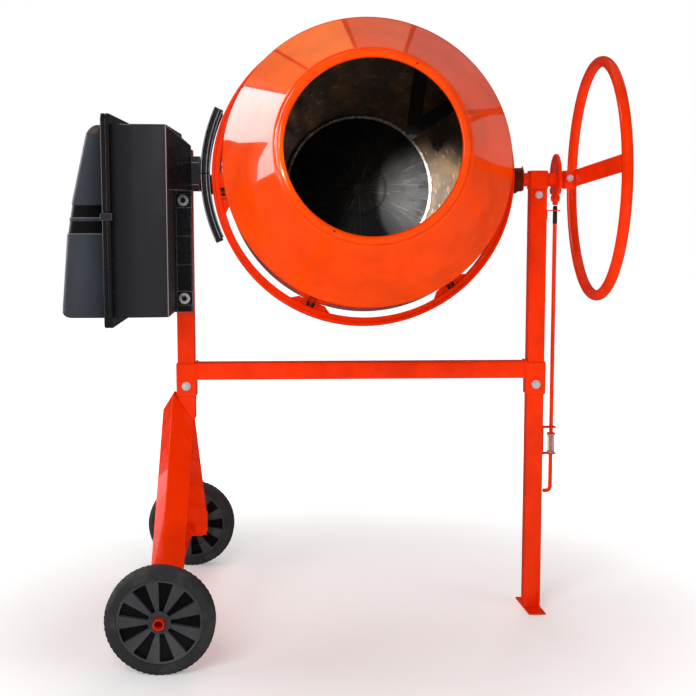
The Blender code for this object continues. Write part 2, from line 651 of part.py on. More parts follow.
def make_tilt_lock():
    disc_low = PIVOT_HEIGHT - LOCK_DISC_RADIUS
    tip = disc_low - 0.0006
    r = LOCK_ROD_RADIUS
    collar = SPRING_TOP + 0.0004
    blunt = LOCK_TIP_RADIUS
    levels = [(tip, blunt - 0.001), (tip - 0.002, blunt), (tip - 0.040, blunt), (tip - 0.0405, r),
              (collar + 0.0025, r), (collar + 0.0024, 0.0098), (collar, 0.0098), (collar - 0.0001, r),
              (LOCK_ROD_FOOT + 0.006, r)]
    path = [(0, 0, level) for level, _ in levels]
    path += [(-0.0018, 0, LOCK_ROD_FOOT + 0.0018), (-0.006, 0, LOCK_ROD_FOOT), (-0.0165, 0, LOCK_ROD_FOOT)]
    radii = [radius for _, radius in levels] + [r, r, r]
    swept("lock_rod", RED_ORANGE, "rod_axis", path, radii)

    face = UPRIGHT_X + HALF + GAP
    hole = LOCK_ROD_RADIUS + RUNNING
    reach = LOCK_ROD_X + 0.010
    profile = [(BRACKET_LOW, face), (BRACKET_LOW, reach), (BRACKET_LOW + EAR, reach),
               (BRACKET_LOW + EAR, face + EAR), (BRACKET_HIGH - EAR, face + EAR), (BRACKET_HIGH - EAR, reach),
               (BRACKET_HIGH, reach), (BRACKET_HIGH, face)]
    bracket = prism("rod_bracket", RED_ORANGE, "machine", "y", profile, -0.011, 0.011)
    drill(bracket, "machine", "z", hole, (LOCK_ROD_X, 0), BRACKET_LOW - 0.01, BRACKET_HIGH + 0.01, 16)
    guide_z = disc_low - 0.0125
    guide = [(guide_z + EAR, face), (guide_z + EAR, reach), (guide_z, reach), (guide_z, face + EAR),
             (guide_z - 0.018, face + EAR), (guide_z - 0.018, face)]
    guide = prism("rod_guide", RED_ORANGE, "machine", "y", guide, -0.009, 0.009)
    hole = LOCK_TIP_RADIUS + RUNNING
    drill(guide, "machine", "z", hole, (LOCK_ROD_X, 0), guide_z - 0.03, guide_z + 0.01, 16)
    make_spring()


def make_spring():
    low = BRACKET_LOW + EAR + GAP + SPRING_WIRE
    high = SPRING_TOP - SPRING_WIRE
    steps = SPRING_TURNS * 8
    path = []
    for i in range(steps + 1):
        turn = math.tau * SPRING_TURNS * i / steps
        x = LOCK_ROD_X + SPRING_RADIUS * math.cos(turn)
        path.append((x, SPRING_RADIUS * math.sin(turn), low + (high - low) * i / steps))
    swept("lock_spring", STEEL, "machine", path, [SPRING_WIRE] * len(path), 5)


def make_lock_disc():
    """A disc with one notch for each lock position; the one for the rest position points straight down."""
    down = math.radians(-90 - (90 - REST_TILT))
    spread = math.asin(NOTCH_WIDTH / 2 / LOCK_DISC_RADIUS)
    half = NOTCH_WIDTH / 2
    depth = LOCK_DISC_RADIUS - NOTCH_DEPTH
    outline = []
    turns = [down - math.radians(LOCK_STEP * step) for step in LOCK_STEPS]
    for first, after in zip(turns, turns[1:] + [turns[0] + math.tau]):
        side = Vector((-math.sin(first), math.cos(first))) * half
        root = Vector((math.cos(first), math.sin(first))) * depth
        outline += [tuple(root - side), tuple(root + side)]
        pieces = max(2, round((after - first) / math.radians(12)))
        for i in range(pieces + 1):
            turn = first + spread + (after - first - 2 * spread) * i / pieces
            outline.append((LOCK_DISC_RADIUS * math.cos(turn), LOCK_DISC_RADIUS * math.sin(turn)))
    ends = (LOCK_ROD_X - LOCK_DISC_WIDTH / 2, LOCK_ROD_X + LOCK_DISC_WIDTH / 2)
    disc = prism("lock_disc", RED_ORANGE, "tilt_axis", "x", outline, *ends)
    drill(disc, "tilt_axis", "x", TILT_TUBE_RADIUS + GAP, (0, 0), ends[0] - 0.01, ends[1] + 0.01, 32)


# ---------------------------------------------------------------- yoke and handwheel


def make_yoke():
    """A box-section fork round the drum, with a hollow axle on the left and an eye on the right."""
    arm = ARM_X
    low = -YOKE_DROP
    slope = YOKE_DROP - YOKE_BEND
    path = [(-arm, 0, 0), (-arm, 0, -YOKE_BEND), (-arm + slope, 0, low), (arm - slope, 0, low),
            (arm, 0, -YOKE_BEND), (arm, 0, 0)]
    yoke = flat_bar("yoke", DARK_STEEL, "tilt_axis", path, (0, 1, 0), ARM_WIDE, ARM_THICK)
    for side in (-1, 1):
        ends = sorted((side * (ARM_INNER + 0.0002), side * (ARM_INNER + ARM_THICK - 0.0002)))
        eye = prism(f"eye_{side}", DARK_STEEL, "tilt_axis", "x", circle(EYE_RADIUS, segments=32), *ends)
        weld(yoke, eye)
    axle = prism("hollow_axle", DARK_STEEL, "tilt_axis", "x", circle(HOLLOW_AXLE_RADIUS, segments=32),
                 -UPRIGHT_X - HALF, -ARM_INNER - 0.002)
    weld(yoke, axle)
    inside = ARM_INNER - ARM_WIDE
    drill(yoke, "tilt_axis", "x", SHAFT_RADIUS + RUNNING, (0, 0), -UPRIGHT_X - TUBE, -inside, 32)
    bearing_end = -ARM_INNER - 0.0130
    drill(yoke, "tilt_axis", "x", PINION_BEARING_RADIUS + GAP, (0, 0), bearing_end - 0.0005, -inside, 32)
    drill(yoke, "tilt_axis", "x", TILT_TUBE_RADIUS + GAP, (0, 0), inside, ARM_OUTER + ARM_WIDE, 32)
    drill(yoke, "tilt_axis", "z", SPINDLE_NECK_RADIUS + GAP, (0, 0), low - ARM_WIDE, low + ARM_WIDE)
    tube_ring("pinion_bearing", STEEL, "tilt_axis", "x", PINION_BEARING_RADIUS, SHAFT_RADIUS + RUNNING,
              bearing_end, -ARM_INNER - 0.001)
    make_tilt_tube()
    make_spindle(low)


def make_tilt_tube():
    """The tube between yoke and handwheel, with an eared plate that stands against the yoke's eye."""
    thick, wide, above, below = EAR_PLATE
    inner = TILT_TUBE_RADIUS - TILT_TUBE_WALL
    tube = tube_ring("tilt_tube", RED_ORANGE, "tilt_axis", "x", TILT_TUBE_RADIUS, inner,
                     ARM_INNER + 0.001, TILT_TUBE_END)
    outline = [(above, 0), (TILT_TUBE_RADIUS + 0.002, wide), (-0.010, wide), (-below, wide * 0.4),
               (-below, -wide * 0.4), (-0.010, -wide), (TILT_TUBE_RADIUS + 0.002, -wide)]
    start = ARM_OUTER + GAP
    plate = prism("ear_plate", RED_ORANGE, "tilt_axis", "x", outline, start, start + thick)
    hole = circle(inner + TILT_TUBE_WALL / 2, segments=32)
    cut(plate, prism("ear_hole", RED_ORANGE, "tilt_axis", "x", hole, start - thick, start + 2 * thick))
    weld(tube, plate)
    drill(tube, "tilt_axis", "z", WHEEL_BOLT_HOLE, (HUB_BOLT_X, 0), -TUBE, TUBE, 12)


def make_spindle(low):
    half = ARM_THICK / 2
    seat = low + half + GAP
    under = low - half - GAP
    neck = SPINDLE_NECK_RADIUS
    profile = [(0, SPINDLE_TIP), (SPINDLE_RADIUS, SPINDLE_TIP), (SPINDLE_RADIUS, seat + 0.007),
               (0.021, seat + 0.007), (0.021, seat), (neck, seat), (neck, under), (0.015, under),
               (0.015, under - 0.010), (neck, under - 0.010), (neck, under - 0.016), (0, under - 0.016)]
    turned("drum_spindle", STEEL, "tilt_axis", "z", profile, segments=24)


def make_handwheel():
    rows = []
    for i in range(WHEEL_RING_SEGMENTS):
        turn = math.tau * i / WHEEL_RING_SEGMENTS
        rim = [(WHEEL_RING_RADIUS + r, h) for r, h in circle(WHEEL_RING_TUBE, segments=10)]
        rows.append([(WHEEL_RING_X + h, r * math.sin(turn), r * math.cos(turn)) for r, h in rim])
    solid("handwheel_rim", RED_ORANGE, "tilt_axis", rows, ring=True)
    inside = (WHEEL_RING_RADIUS - WHEEL_RING_TUBE) * math.cos(math.pi / WHEEL_RING_SEGMENTS)
    end = math.sqrt(inside**2 - (SPOKE_HEIGHT / 2) ** 2) - GAP
    path = [(WHEEL_RING_X, 0, -end), (SPOKE_HUB_X, 0, -SPOKE_FLAT), (SPOKE_HUB_X, 0, SPOKE_FLAT),
            (WHEEL_RING_X, 0, end)]
    spoke = flat_bar("handwheel_spoke", RED_ORANGE, "tilt_axis", path, (0, 1, 0), SPOKE_HEIGHT,
                     SPOKE_THICKNESS)
    hub = prism("wheel_hub", RED_ORANGE, "tilt_axis", "x", circle(WHEEL_HUB_RADIUS, segments=24),
                HUB_START_X, SPOKE_HUB_X)
    weld(spoke, hub)
    ends = (HUB_START_X - 0.01, TILT_TUBE_END + GAP)
    drill(spoke, "tilt_axis", "x", TILT_TUBE_RADIUS + GAP, (0, 0), *ends, 32)
    drill(spoke, "tilt_axis", "z", WHEEL_BOLT_HOLE, (HUB_BOLT_X, 0), -TUBE, TUBE, 12)
    outside = WHEEL_HUB_RADIUS + GAP
    bolt("handwheel_bolt", "tilt_axis", "z", (HUB_BOLT_X, 0), outside, -outside - 0.0117,
         radius=WHEEL_BOLT_HOLE - GAP, across=0.012, washer=0.0075, nut=-outside)


def make_guards():
    """Two arched covers over the pinion's mesh, which stand on the eye of the yoke's left arm."""
    back = EYE_RADIUS + GAP
    inner = GUARD_OUTER - GUARD_DEPTH
    lip = inner + GUARD_WALL
    web = GUARD_OUTER - GUARD_WALL
    profile = [(GUARD_OUTER, back), (GUARD_OUTER, GUARD_FRONT), (inner, GUARD_FRONT),
               (inner, GUARD_FRONT - GUARD_LIP), (lip, GUARD_FRONT - GUARD_LIP),
               (lip, GUARD_FRONT - GUARD_WALL), (web, GUARD_FRONT - GUARD_WALL), (web, back)]
    for name, way in (("pinion_guard_upper", 1), ("pinion_guard_lower", -1)):
        sections = []
        for i in range(9):
            turn = math.pi - way * math.radians(0.1 + (GUARD_SWEEP - 0.1) * i / 8)
            sections.append([(r * math.cos(turn), r * math.sin(turn), z) for r, z in profile])
        solid(name, BLACK, "tilt_axis", sections)


# ---------------------------------------------------------------- drum


def upper_drum_profile():
    """The skirt, cone and rolled rim as one closed outline."""
    centre = Vector((MOUTH_RADIUS - BEAD_RADIUS, MOUTH_AXIAL - BEAD_RADIUS))
    shoulder = Vector((DRUM_RADIUS, CONE_AXIAL))
    along = (centre - shoulder).normalized()
    normal = Vector((along.y, -along.x))
    depth = BEAD_RADIUS - DRUM_WALL
    inside = centre + normal * depth - along * math.sqrt(BEAD_RADIUS**2 - depth**2)
    first = math.atan2(normal.y, normal.x)
    last = math.atan2(inside.y - centre.y, inside.x - centre.x) + math.tau
    bead = []
    for i in range(9):
        turn = first + (last - first) * i / 8
        bead.append((centre.x + BEAD_RADIUS * math.cos(turn), centre.y + BEAD_RADIUS * math.sin(turn)))
    inner = DRUM_RADIUS - DRUM_WALL
    wall = [(inner, CONE_AXIAL - 0.001), (inner, SKIRT_AXIAL)]
    return [(DRUM_RADIUS, SKIRT_AXIAL), tuple(shoulder)] + bead + wall


def lower_drum_path():
    lap = DRUM_RADIUS - DRUM_WALL - GAP
    foot = BASE_AXIAL - DRUM_WALL - GAP - DRUM_WALL
    return [(BASE_RADIUS - BASE_FOLD, foot), (BASE_RADIUS + 0.005, foot), (BASE_RADIUS + 0.0105, foot + 0.006),
            (lap - 0.032, -0.040), (lap - 0.008, 0.0), (lap, 0.045), (lap, SKIRT_AXIAL + SEAM_LAP)]


def make_drum():
    turned("drum_upper", ORANGE, "drum_axis", "z", upper_drum_profile(), segments=DRUM_SEGMENTS)
    outside = lower_drum_path()
    inside = offset_path(outside, -DRUM_WALL)
    turned("drum_lower", ORANGE, "drum_axis", "z", outside + inside[::-1], segments=DRUM_SEGMENTS)
    base = [(0, BASE_AXIAL - DRUM_WALL), (BASE_RADIUS, BASE_AXIAL - DRUM_WALL), (BASE_RADIUS, BASE_AXIAL),
            (0, BASE_AXIAL)]
    base = turned("drum_base", DARK_STEEL, "drum_axis", "z", base, segments=DRUM_SEGMENTS)
    drill(base, "drum_axis", "z", BASE_BOLT_RADIUS + RUNNING, (0, 0), BASE_AXIAL - TUBE, BASE_AXIAL + TUBE)
    make_hub()
    for name, turn in BLADE_TURNS:
        make_blade(name, math.radians(turn))


def make_hub():
    flange, body = HUB_FLANGE_RADIUS, HUB_RADIUS
    bearing = HUB_BEARING_RADIUS + GAP
    roof = SPINDLE_TIP + 0.001
    profile = [(0, HUB_TOP), (flange, HUB_TOP), (flange, HUB_TOP - 0.006), (body, HUB_TOP - 0.010),
               (body, HUB_FOOT), (bearing, HUB_FOOT), (bearing, roof), (0, roof)]
    hub = turned("drum_hub", STEEL, "drum_axis", "z", profile, segments=24)
    drill(hub, "drum_axis", "z", BASE_BOLT_RADIUS + RUNNING, (0, 0), SPINDLE_TIP - 0.01, HUB_TOP + 0.01)
    tube_ring("drum_bearing", ZINC, "drum_axis", "z", HUB_BEARING_RADIUS, SPINDLE_RADIUS + RUNNING,
              HUB_FOOT + 0.002, SPINDLE_TIP - 0.001)
    bolt("base_bolt", "drum_axis", "z", (0, 0), BASE_AXIAL + GAP, SPINDLE_TIP + 0.002,
         radius=BASE_BOLT_RADIUS, across=0.019, washer=0.016)


def polar(radius, turn, z):
    return Vector((radius * math.cos(turn), radius * math.sin(turn), z))


def make_blade(name, turn):
    """A V of flat bar whose two feet lie on the drum's wall and whose point reaches inwards."""
    point = polar(BLADE_REACH, turn + math.radians(4), 0.060)
    lower_wall = DRUM_RADIUS - 2 * DRUM_WALL - GAP
    upper_wall = DRUM_RADIUS - DRUM_WALL
    bar = blade_foot(name, lower_wall, turn, 0.056)
    weld(bar, blade_arm(f"{name}_arm", lower_wall, turn, 0.062, point))
    high = turn + math.radians(BLADE_SPREAD)
    weld(bar, blade_foot(f"{name}_high_foot", upper_wall, high, 0.140))
    weld(bar, blade_arm(f"{name}_high_arm", upper_wall, high, 0.146, point + Vector((0, 0, 0.004))))


def foot_radius(wall):
    """The radius of a foot's middle plane, where its edges just clear a wall of that radius."""
    clear = wall * math.cos(math.pi / DRUM_SEGMENTS) - GAP
    return math.sqrt(clear**2 - (BLADE_WIDTH / 2) ** 2) - BLADE_THICKNESS / 2


def blade_foot(name, wall, turn, low):
    radius = foot_radius(wall)
    path = [polar(radius, turn, low), polar(radius, turn, low + BLADE_FOOT)]
    tangent = (-math.sin(turn), math.cos(turn), 0)
    return flat_bar(name, DARK_STEEL, "drum_axis", path, tangent, BLADE_WIDTH, BLADE_THICKNESS)


def blade_arm(name, wall, turn, z, point):
    foot = polar(foot_radius(wall), turn, z)
    along = (point - foot).normalized()
    skew = math.acos(min(1, -along.dot(polar(1, turn, 0)) / math.hypot(along.x, along.y)))
    start = foot + along * (BLADE_WIDTH / 2 * math.sin(skew) + 0.001)
    flat = along.cross(Vector((0, 0, 1))).normalized()
    path = [start, point + along * 0.012]
    return flat_bar(name, DARK_STEEL, "drum_axis", path, flat, BLADE_WIDTH, BLADE_THICKNESS)


def make_ring_gear():
    """Crown teeth that face the pivot, on one ring; heights grow with radius towards the pitch cone."""
    pitch = math.tau / RING_TEETH
    tip = TOOTH_SHARE / 2 - ADDENDUM * math.tan(math.radians(PRESSURE_ANGLE)) / (PITCH_RADIUS * pitch)
    root = TOOTH_SHARE / 2 + DEDENDUM * math.tan(math.radians(PRESSURE_ANGLE)) / (PITCH_RADIUS * pitch)
    sections = []
    for tooth in range(RING_TEETH):
        for share, height in ((-root, DEDENDUM), (-tip, -ADDENDUM), (tip, -ADDENDUM), (root, DEDENDUM)):
            turn = math.pi + pitch * (tooth + 0.5 + share)
            sections.append(ring_section(turn, PINION_PITCH + height))
    ring = solid("ring_gear", ORANGE, "drum_axis", sections, ring=True)
    for i in range(LUGS):
        weld(ring, ring_lug(i, math.radians(LUG_TURN) + math.tau * i / LUGS))


def ring_lug(number, turn):
    """A plate from the ring's inside to the skirt, which it stands against."""
    inner, outer = DRUM_RADIUS + GAP, RING_INNER + 0.001
    outline = [(inner, -0.014), (outer, -0.020), (outer, 0.020), (inner, 0.014)]
    across, up = math.cos(turn), math.sin(turn)
    spun = [(u * across - v * up, u * up + v * across) for u, v in outline]
    return prism(f"ring_lug_{number}", ORANGE, "drum_axis", "z", spun, RING_FRONT - 0.012, RING_FRONT - 0.002)


def ring_section(turn, height):
    across, up = math.cos(turn), math.sin(turn)
    inner, outer = height * RING_INNER / PITCH_RADIUS, height * RING_OUTER / PITCH_RADIUS
    points = [(RING_INNER, inner), (RING_OUTER, outer), (RING_OUTER, RING_FRONT), (RING_INNER, RING_FRONT)]
    return [(r * across, r * up, z) for r, z in points]


# ---------------------------------------------------------------- drive


def make_pinion():
    """A bevel pinion on the tilt axis, with one tooth pointing straight at the ring."""
    pitch = math.tau / PINION_TEETH
    lean = math.tan(math.radians(PRESSURE_ANGLE)) / (PINION_PITCH * pitch)
    half = TOOTH_SHARE / 2
    outline = []
    root = half + 0.25 * DEDENDUM * lean
    tip = half - 1.15 * ADDENDUM * lean
    stations = [(-root, -DEDENDUM), (-half, 0), (-tip, ADDENDUM), (tip, ADDENDUM), (half, 0),
                (root, -DEDENDUM)]
    for tooth in range(PINION_TEETH):
        for share, height in stations:
            turn = math.pi / 2 + pitch * (tooth + share)
            radius = PINION_PITCH + height
            outline.append((radius * math.cos(turn), radius * math.sin(turn)))
    levels = (-RING_OUTER + 0.0015, -RING_INNER - 0.0015)
    sections = []
    for level in levels:
        scale = -level / PITCH_RADIUS
        sections.append((level, [(u * scale, v * scale) for u, v in outline]))
    pinion = stacked("drive_pinion", DARK_STEEL, "pinion_axis", "x", sections)
    drill(pinion, "pinion_axis", "x", SHAFT_RADIUS + GAP, (0, 0), -RING_OUTER - TUBE, -RING_INNER + TUBE)
    profile = [(0, -RING_INNER + 0.003), (SHAFT_RADIUS + 0.004, -RING_INNER + 0.003),
               (SHAFT_RADIUS + 0.004, -RING_INNER - 0.0012), (SHAFT_RADIUS, -RING_INNER - 0.0012),
               (SHAFT_RADIUS, PULLEY_X - 0.014), (0, PULLEY_X - 0.014)]
    turned("pinion_shaft", STEEL, "pinion_axis", "x", profile, segments=24)


def pulley_profile(groove, hub, bore):
    half = PULLEY_WIDTH / 2
    rim = groove + PULLEY_FLANGE
    slot = BELT_WIDTH / 2 + GAP
    return [(bore, PULLEY_X - hub), (rim, PULLEY_X - half), (rim, PULLEY_X - slot), (groove, PULLEY_X - slot),
            (groove, PULLEY_X + slot), (rim, PULLEY_X + slot), (rim, PULLEY_X + half), (bore, PULLEY_X + hub)]


def make_drive():
    make_pinion()
    shaft = MOTOR_SHAFT_RADIUS
    turned("large_pulley", STEEL, "pinion_axis", "x", pulley_profile(PULLEY_GROOVE, 0.011, SHAFT_RADIUS + GAP),
           segments=32)
    turned("motor_pulley", STEEL, "motor_axis", "x", pulley_profile(MOTOR_PULLEY_GROOVE, 0.010, shaft + GAP),
           segments=20)
    rotor = MOTOR_FRONT - 0.006
    profile = [(0, PULLEY_X + 0.012), (shaft, PULLEY_X + 0.012), (shaft, rotor), (0, rotor)]
    turned("motor_shaft", STEEL, "motor_axis", "x", profile, segments=24)
    make_belt()
    make_motor()


def make_belt():
    """A flat-sided loop round both pulleys."""
    big = PULLEY_GROOVE + GAP + BELT_THICKNESS / 2
    small = MOTOR_PULLEY_GROOVE + GAP + BELT_THICKNESS / 2
    lean = math.asin((big - small) / MOTOR_DROP)
    sections = []
    for count, radius, centre, start in ((24, big, 0, -lean), (12, small, -MOTOR_DROP, math.pi + lean)):
        sweep = math.pi + 2 * lean if centre == 0 else math.pi - 2 * lean
        for i in range(count + 1):
            turn = start + sweep * i / count
            row = []
            for along, out in ((1, 1), (1, -1), (-1, -1), (-1, 1)):
                r = radius + out * BELT_THICKNESS / 2
                row.append((PULLEY_X + along * BELT_WIDTH / 2, r * math.cos(turn),
                            PIVOT_HEIGHT + centre + r * math.sin(turn)))
            sections.append(row)
    solid("drive_belt", RUBBER, "machine", sections, ring=True)


def make_motor():
    z = PIVOT_HEIGHT - MOTOR_DROP
    back = MOTOR_FRONT - 0.004 - MOTOR_LENGTH
    front = MOTOR_FRONT - 0.004 - GAP
    bore = MOTOR_SHAFT_RADIUS + 0.0005
    profile = [(0, back), (MOTOR_RADIUS - 0.012, back), (MOTOR_RADIUS, back + 0.012),
               (MOTOR_RADIUS, front - 0.008),
               (MOTOR_RADIUS - 0.006, front), (0.022, front), (0.022, front + 0.006), (bore, front + 0.006),
               (bore, front - 0.012), (0, front - 0.012)]
    turned("motor", DARK_STEEL, "machine", "x", profile, (0, z), 24)
    wall = -UPRIGHT_X - HALF - GAP - BOX_WALL - GAP
    side = MOTOR_RADIUS + 0.004
    plate = MOTOR_FRONT
    outline = [(-side, wall), (-side, plate - 0.004), (side, plate - 0.004), (side, wall),
               (side - 0.003, wall),
               (side - 0.003, plate), (-side + 0.003, plate), (-side + 0.003, wall)]
    outline = [(x, y) for y, x in outline]
    bracket = prism("motor_bracket", ZINC, "machine", "z", outline, z - 0.055, z + 0.040)
    drill(bracket, "machine", "x", 0.022 + GAP, (0, z), plate - 0.02, plate + 0.01, 32)


def make_switch():
    face = BOX_DEPTH / 2 + GAP
    front = SWITCH_FACE - 0.002
    outline = rectangle(0.070, 0.052, ((START_Z + STOP_Z) / 2, BUTTON_X), 0.005)
    body = prism("switch_body", BLACK, "machine", "y", outline, face, front)
    for name, z, finish in (("start", START_Z, GREEN), ("stop", STOP_Z, RED)):
        drill(body, "machine", "y", BUTTON_RADIUS + 0.0005, (z, BUTTON_X), face + 0.002, front + 0.01)
        full, crown = circle(BUTTON_RADIUS, segments=20), circle(BUTTON_RADIUS - 0.0015, segments=20)
        stations = [(-0.0062, full), (0.0005, full), (0.0018, crown)]
        stacked(f"{name}_button", finish, f"{name}_axis", "y", stations)
    centre = (INLET_Z, BUTTON_X)
    outline = rectangle(0.044, 0.044, centre, 0.008)
    inlet = prism("power_inlet", BLACK, "machine", "y", outline, face, face + 0.028)
    cut(inlet, prism("inlet_mouth", BLACK, "machine", "y", circle(0.0165, centre), face + 0.006, face + 0.04))
    weld(inlet, prism("inlet_pins", BLACK, "machine", "y", circle(0.010, centre), face + 0.004, face + 0.024))


# ---------------------------------------------------------------- motor box


def box_outline(grow=0.0):
    middle = (BOX_TOP + BOX_BOTTOM) / 2
    return rectangle(BOX_DEPTH + 2 * grow, BOX_TOP - BOX_BOTTOM + 2 * grow, (0, middle), BOX_CORNER)


def make_box():
    right = -UPRIGHT_X - HALF - GAP
    lip = BOX_SPLIT_X + GAP
    shoulder = lip + BOX_LIP
    stations = [(right, box_outline()), (shoulder, box_outline()), (shoulder, box_outline(BOX_FLANGE)),
                (lip, box_outline(BOX_FLANGE)), (lip, box_outline(-BOX_WALL)),
                (right - BOX_WALL, box_outline(-BOX_WALL))]
    inner = stacked("housing_inner", BLACK, "machine", "x", stations)
    make_wing(inner, right)
    hole = HOLLOW_AXLE_RADIUS - CLEARANCE
    drill(inner, "machine", "x", hole, (0, PIVOT_HEIGHT), right - TUBE / 2, right + TUBE / 2, 32)
    front = -HALF - GAP - WING_THICK
    for name, level in zip(("housing_bolt_upper", "housing_bolt_lower"), BOX_BOLT_Z):
        drill(inner, "machine", "y", BOLT_HOLE, (level, -UPRIGHT_X), front - TUBE, -HALF + TUBE / 4, 12)
        bolt(name, "machine", "y", (level, -UPRIGHT_X), front - GAP, HALF + 0.014, washer=0.012,
             nut=HALF + GAP)
    make_cover()
    make_clip()


def make_wing(inner, right):
    """The wing that is bolted to the upright, and the slanted nose beside the bearing block."""
    depth = -HALF - GAP
    edge = right - 0.001
    wing = block("box_wing", BLACK, "machine", (edge, depth - WING_THICK, BOX_BOTTOM - 0.001),
                 (WING_X, depth, WING_TOP))
    weld(inner, wing)
    nose = [(edge, -BOX_DEPTH / 2 + 0.004), (WING_X, depth - 0.016), (WING_X, depth), (edge, depth)]
    weld(inner, prism("box_nose", BLACK, "machine", "z", nose, WING_TOP - 0.001, BOX_TOP - 0.022))
    clear = BEARING_BLOCK_DEPTH / 2 + GAP
    cut(inner, block("nose_relief", BLACK, "machine", (right + 0.0001, -clear, WING_TOP),
                     (WING_X + TUBE, BOX_DEPTH / 2, BOX_TOP)))


def make_cover():
    """The outer half of the motor box: deep at the bottom over the motor, shallow at the top."""
    lip = BOX_SPLIT_X - GAP
    rim = lip - BOX_LIP
    cover = stacked("housing_outer", BLACK, "machine", "x",
                    [(lip, box_outline(BOX_FLANGE)), (rim, box_outline(BOX_FLANGE))])
    face = [(BOX_TOP - drop, BOX_SPLIT_X - reach) for drop, reach in COVER_TOP]
    face += [(BOX_BOTTOM + rise, BOX_SPLIT_X - reach) for rise, reach in COVER_BOTTOM]
    outer = [(BOX_TOP, rim + 0.001)] + face + [(BOX_BOTTOM, rim + 0.001)]
    half = BOX_DEPTH / 2
    weld(cover, prism("cover_shell", BLACK, "machine", "y", outer, -half, half))
    low, high = BOX_BOTTOM + BOX_WALL, BOX_TOP - BOX_WALL
    hollow = [(high, lip + 0.01)]
    hollow += [(min(max(z, low + BOX_WALL), high - BOX_WALL), x + 1.2 * BOX_WALL) for z, x in face[:-1]]
    hollow += [(low, face[-1][1] + 1.3 * BOX_WALL), (low, lip + 0.01)]
    cut(cover, prism("cover_hollow", BLACK, "machine", "y", hollow, -half + BOX_WALL, half - BOX_WALL))


def make_clip():
    """The spring clip that holds the two flanges together in front."""
    grip = BOX_LIP + 2 * GAP
    wall = 0.003
    reach = 0.012
    outline = [(-grip - wall, 0), (grip + wall, 0), (grip + wall, reach), (grip, reach), (grip, wall),
               (-grip, wall), (-grip, reach), (-grip - wall, reach)]
    front = -BOX_DEPTH / 2 - BOX_FLANGE - GAP - wall
    outline = [(BOX_SPLIT_X + x, front + y) for x, y in outline]
    middle = PIVOT_HEIGHT - CLIP_DROP
    prism("housing_clip", BLACK, "machine", "z", outline, middle - CLIP_HEIGHT / 2, middle + CLIP_HEIGHT / 2)


def centre_on_ground():
    """Move the whole machine so that the middle of its footprint is at the origin."""
    bpy.context.view_layer.update()
    graph = bpy.context.evaluated_depsgraph_get()
    corners = []
    for piece in bpy.data.objects:
        if piece.type == "MESH" and not piece.hide_render:
            done = piece.evaluated_get(graph)
            corners += [done.matrix_world @ vertex.co for vertex in done.data.vertices]
    corners = np.array(corners)
    low, high = corners.min(axis=0), corners.max(axis=0)
    EMPTIES["machine"].location = (-(low[0] + high[0]) / 2, -(low[1] + high[1]) / 2, -low[2])


def main():
    clear_scene()
    make_empties()
    make_uprights()
    make_foot()
    make_crossbar()
    make_running_gear()
    make_bearings()
    make_tilt_lock()
    make_yoke()
    make_lock_disc()
    make_handwheel()
    make_guards()
    make_drum()
    make_ring_gear()
    make_drive()
    make_switch()
    make_box()
    centre_on_ground()
    bpy.context.view_layer.update()
    print("machine at", tuple(round(v, 6) for v in EMPTIES["machine"].location))


main()
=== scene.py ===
"""Looks of the tilting-drum concrete mixer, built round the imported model.

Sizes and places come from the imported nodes. Shapes of the drum and of what turns with it are written in the
drum's own frame: origin on the tilt axis, X along that axis, Z along the drum's axis towards its mouth.
"""

import json
import math

import bmesh
import bpy
from mathutils import Matrix, Vector, noise


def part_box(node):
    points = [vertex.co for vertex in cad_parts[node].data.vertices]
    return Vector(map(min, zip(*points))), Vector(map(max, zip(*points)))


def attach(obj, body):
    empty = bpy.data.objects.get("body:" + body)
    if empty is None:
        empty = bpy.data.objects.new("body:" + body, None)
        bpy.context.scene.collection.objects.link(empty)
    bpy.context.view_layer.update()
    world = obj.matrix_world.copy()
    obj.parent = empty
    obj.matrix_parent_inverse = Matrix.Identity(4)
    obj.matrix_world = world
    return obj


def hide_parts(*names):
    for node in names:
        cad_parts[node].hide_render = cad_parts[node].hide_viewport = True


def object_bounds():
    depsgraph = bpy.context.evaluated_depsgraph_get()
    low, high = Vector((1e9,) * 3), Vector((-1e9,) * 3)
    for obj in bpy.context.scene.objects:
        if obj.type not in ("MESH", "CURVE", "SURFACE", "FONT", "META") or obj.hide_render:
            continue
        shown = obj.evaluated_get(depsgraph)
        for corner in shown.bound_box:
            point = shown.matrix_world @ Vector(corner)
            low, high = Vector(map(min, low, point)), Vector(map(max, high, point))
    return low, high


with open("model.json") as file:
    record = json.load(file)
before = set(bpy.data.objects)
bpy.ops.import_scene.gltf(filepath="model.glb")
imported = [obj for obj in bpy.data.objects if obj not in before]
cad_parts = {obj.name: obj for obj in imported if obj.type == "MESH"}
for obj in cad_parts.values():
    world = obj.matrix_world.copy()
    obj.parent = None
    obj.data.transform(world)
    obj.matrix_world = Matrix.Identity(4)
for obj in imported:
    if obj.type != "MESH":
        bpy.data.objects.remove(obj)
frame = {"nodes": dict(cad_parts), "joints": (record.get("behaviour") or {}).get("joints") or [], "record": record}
CAD_LOW, CAD_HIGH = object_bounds()
JOINTS = {joint["name"]: joint for joint in frame["joints"]}
PIVOT = Vector(JOINTS["tilt"]["pos_m"])
FLOOR = CAD_LOW.z
MM = 0.001
GAP = 0.3 * MM           # between a piece and what it rests on
WALL = 3 * MM            # of the drum and of the motor box
FLANGE_DEPTH = 8.2 * MM  # of the rim round each half of the motor box
WING_RISE = 9.5 * MM     # of the wing's top above its upper bolt
BOX_INSET = 1 * MM       # of the flange's mouth inside the box's body
GROOVE_RISES = (0.236, 0.175)  # of the cover's two grooves' edges above the box's bottom
GROOVE_HEIGHT = 0.028
GROOVE_DEEP = 1.7 * MM
GROOVE_BANK = 1.4 * MM
BOLT_PAD = 0.0155        # half the size of the wing's square pads
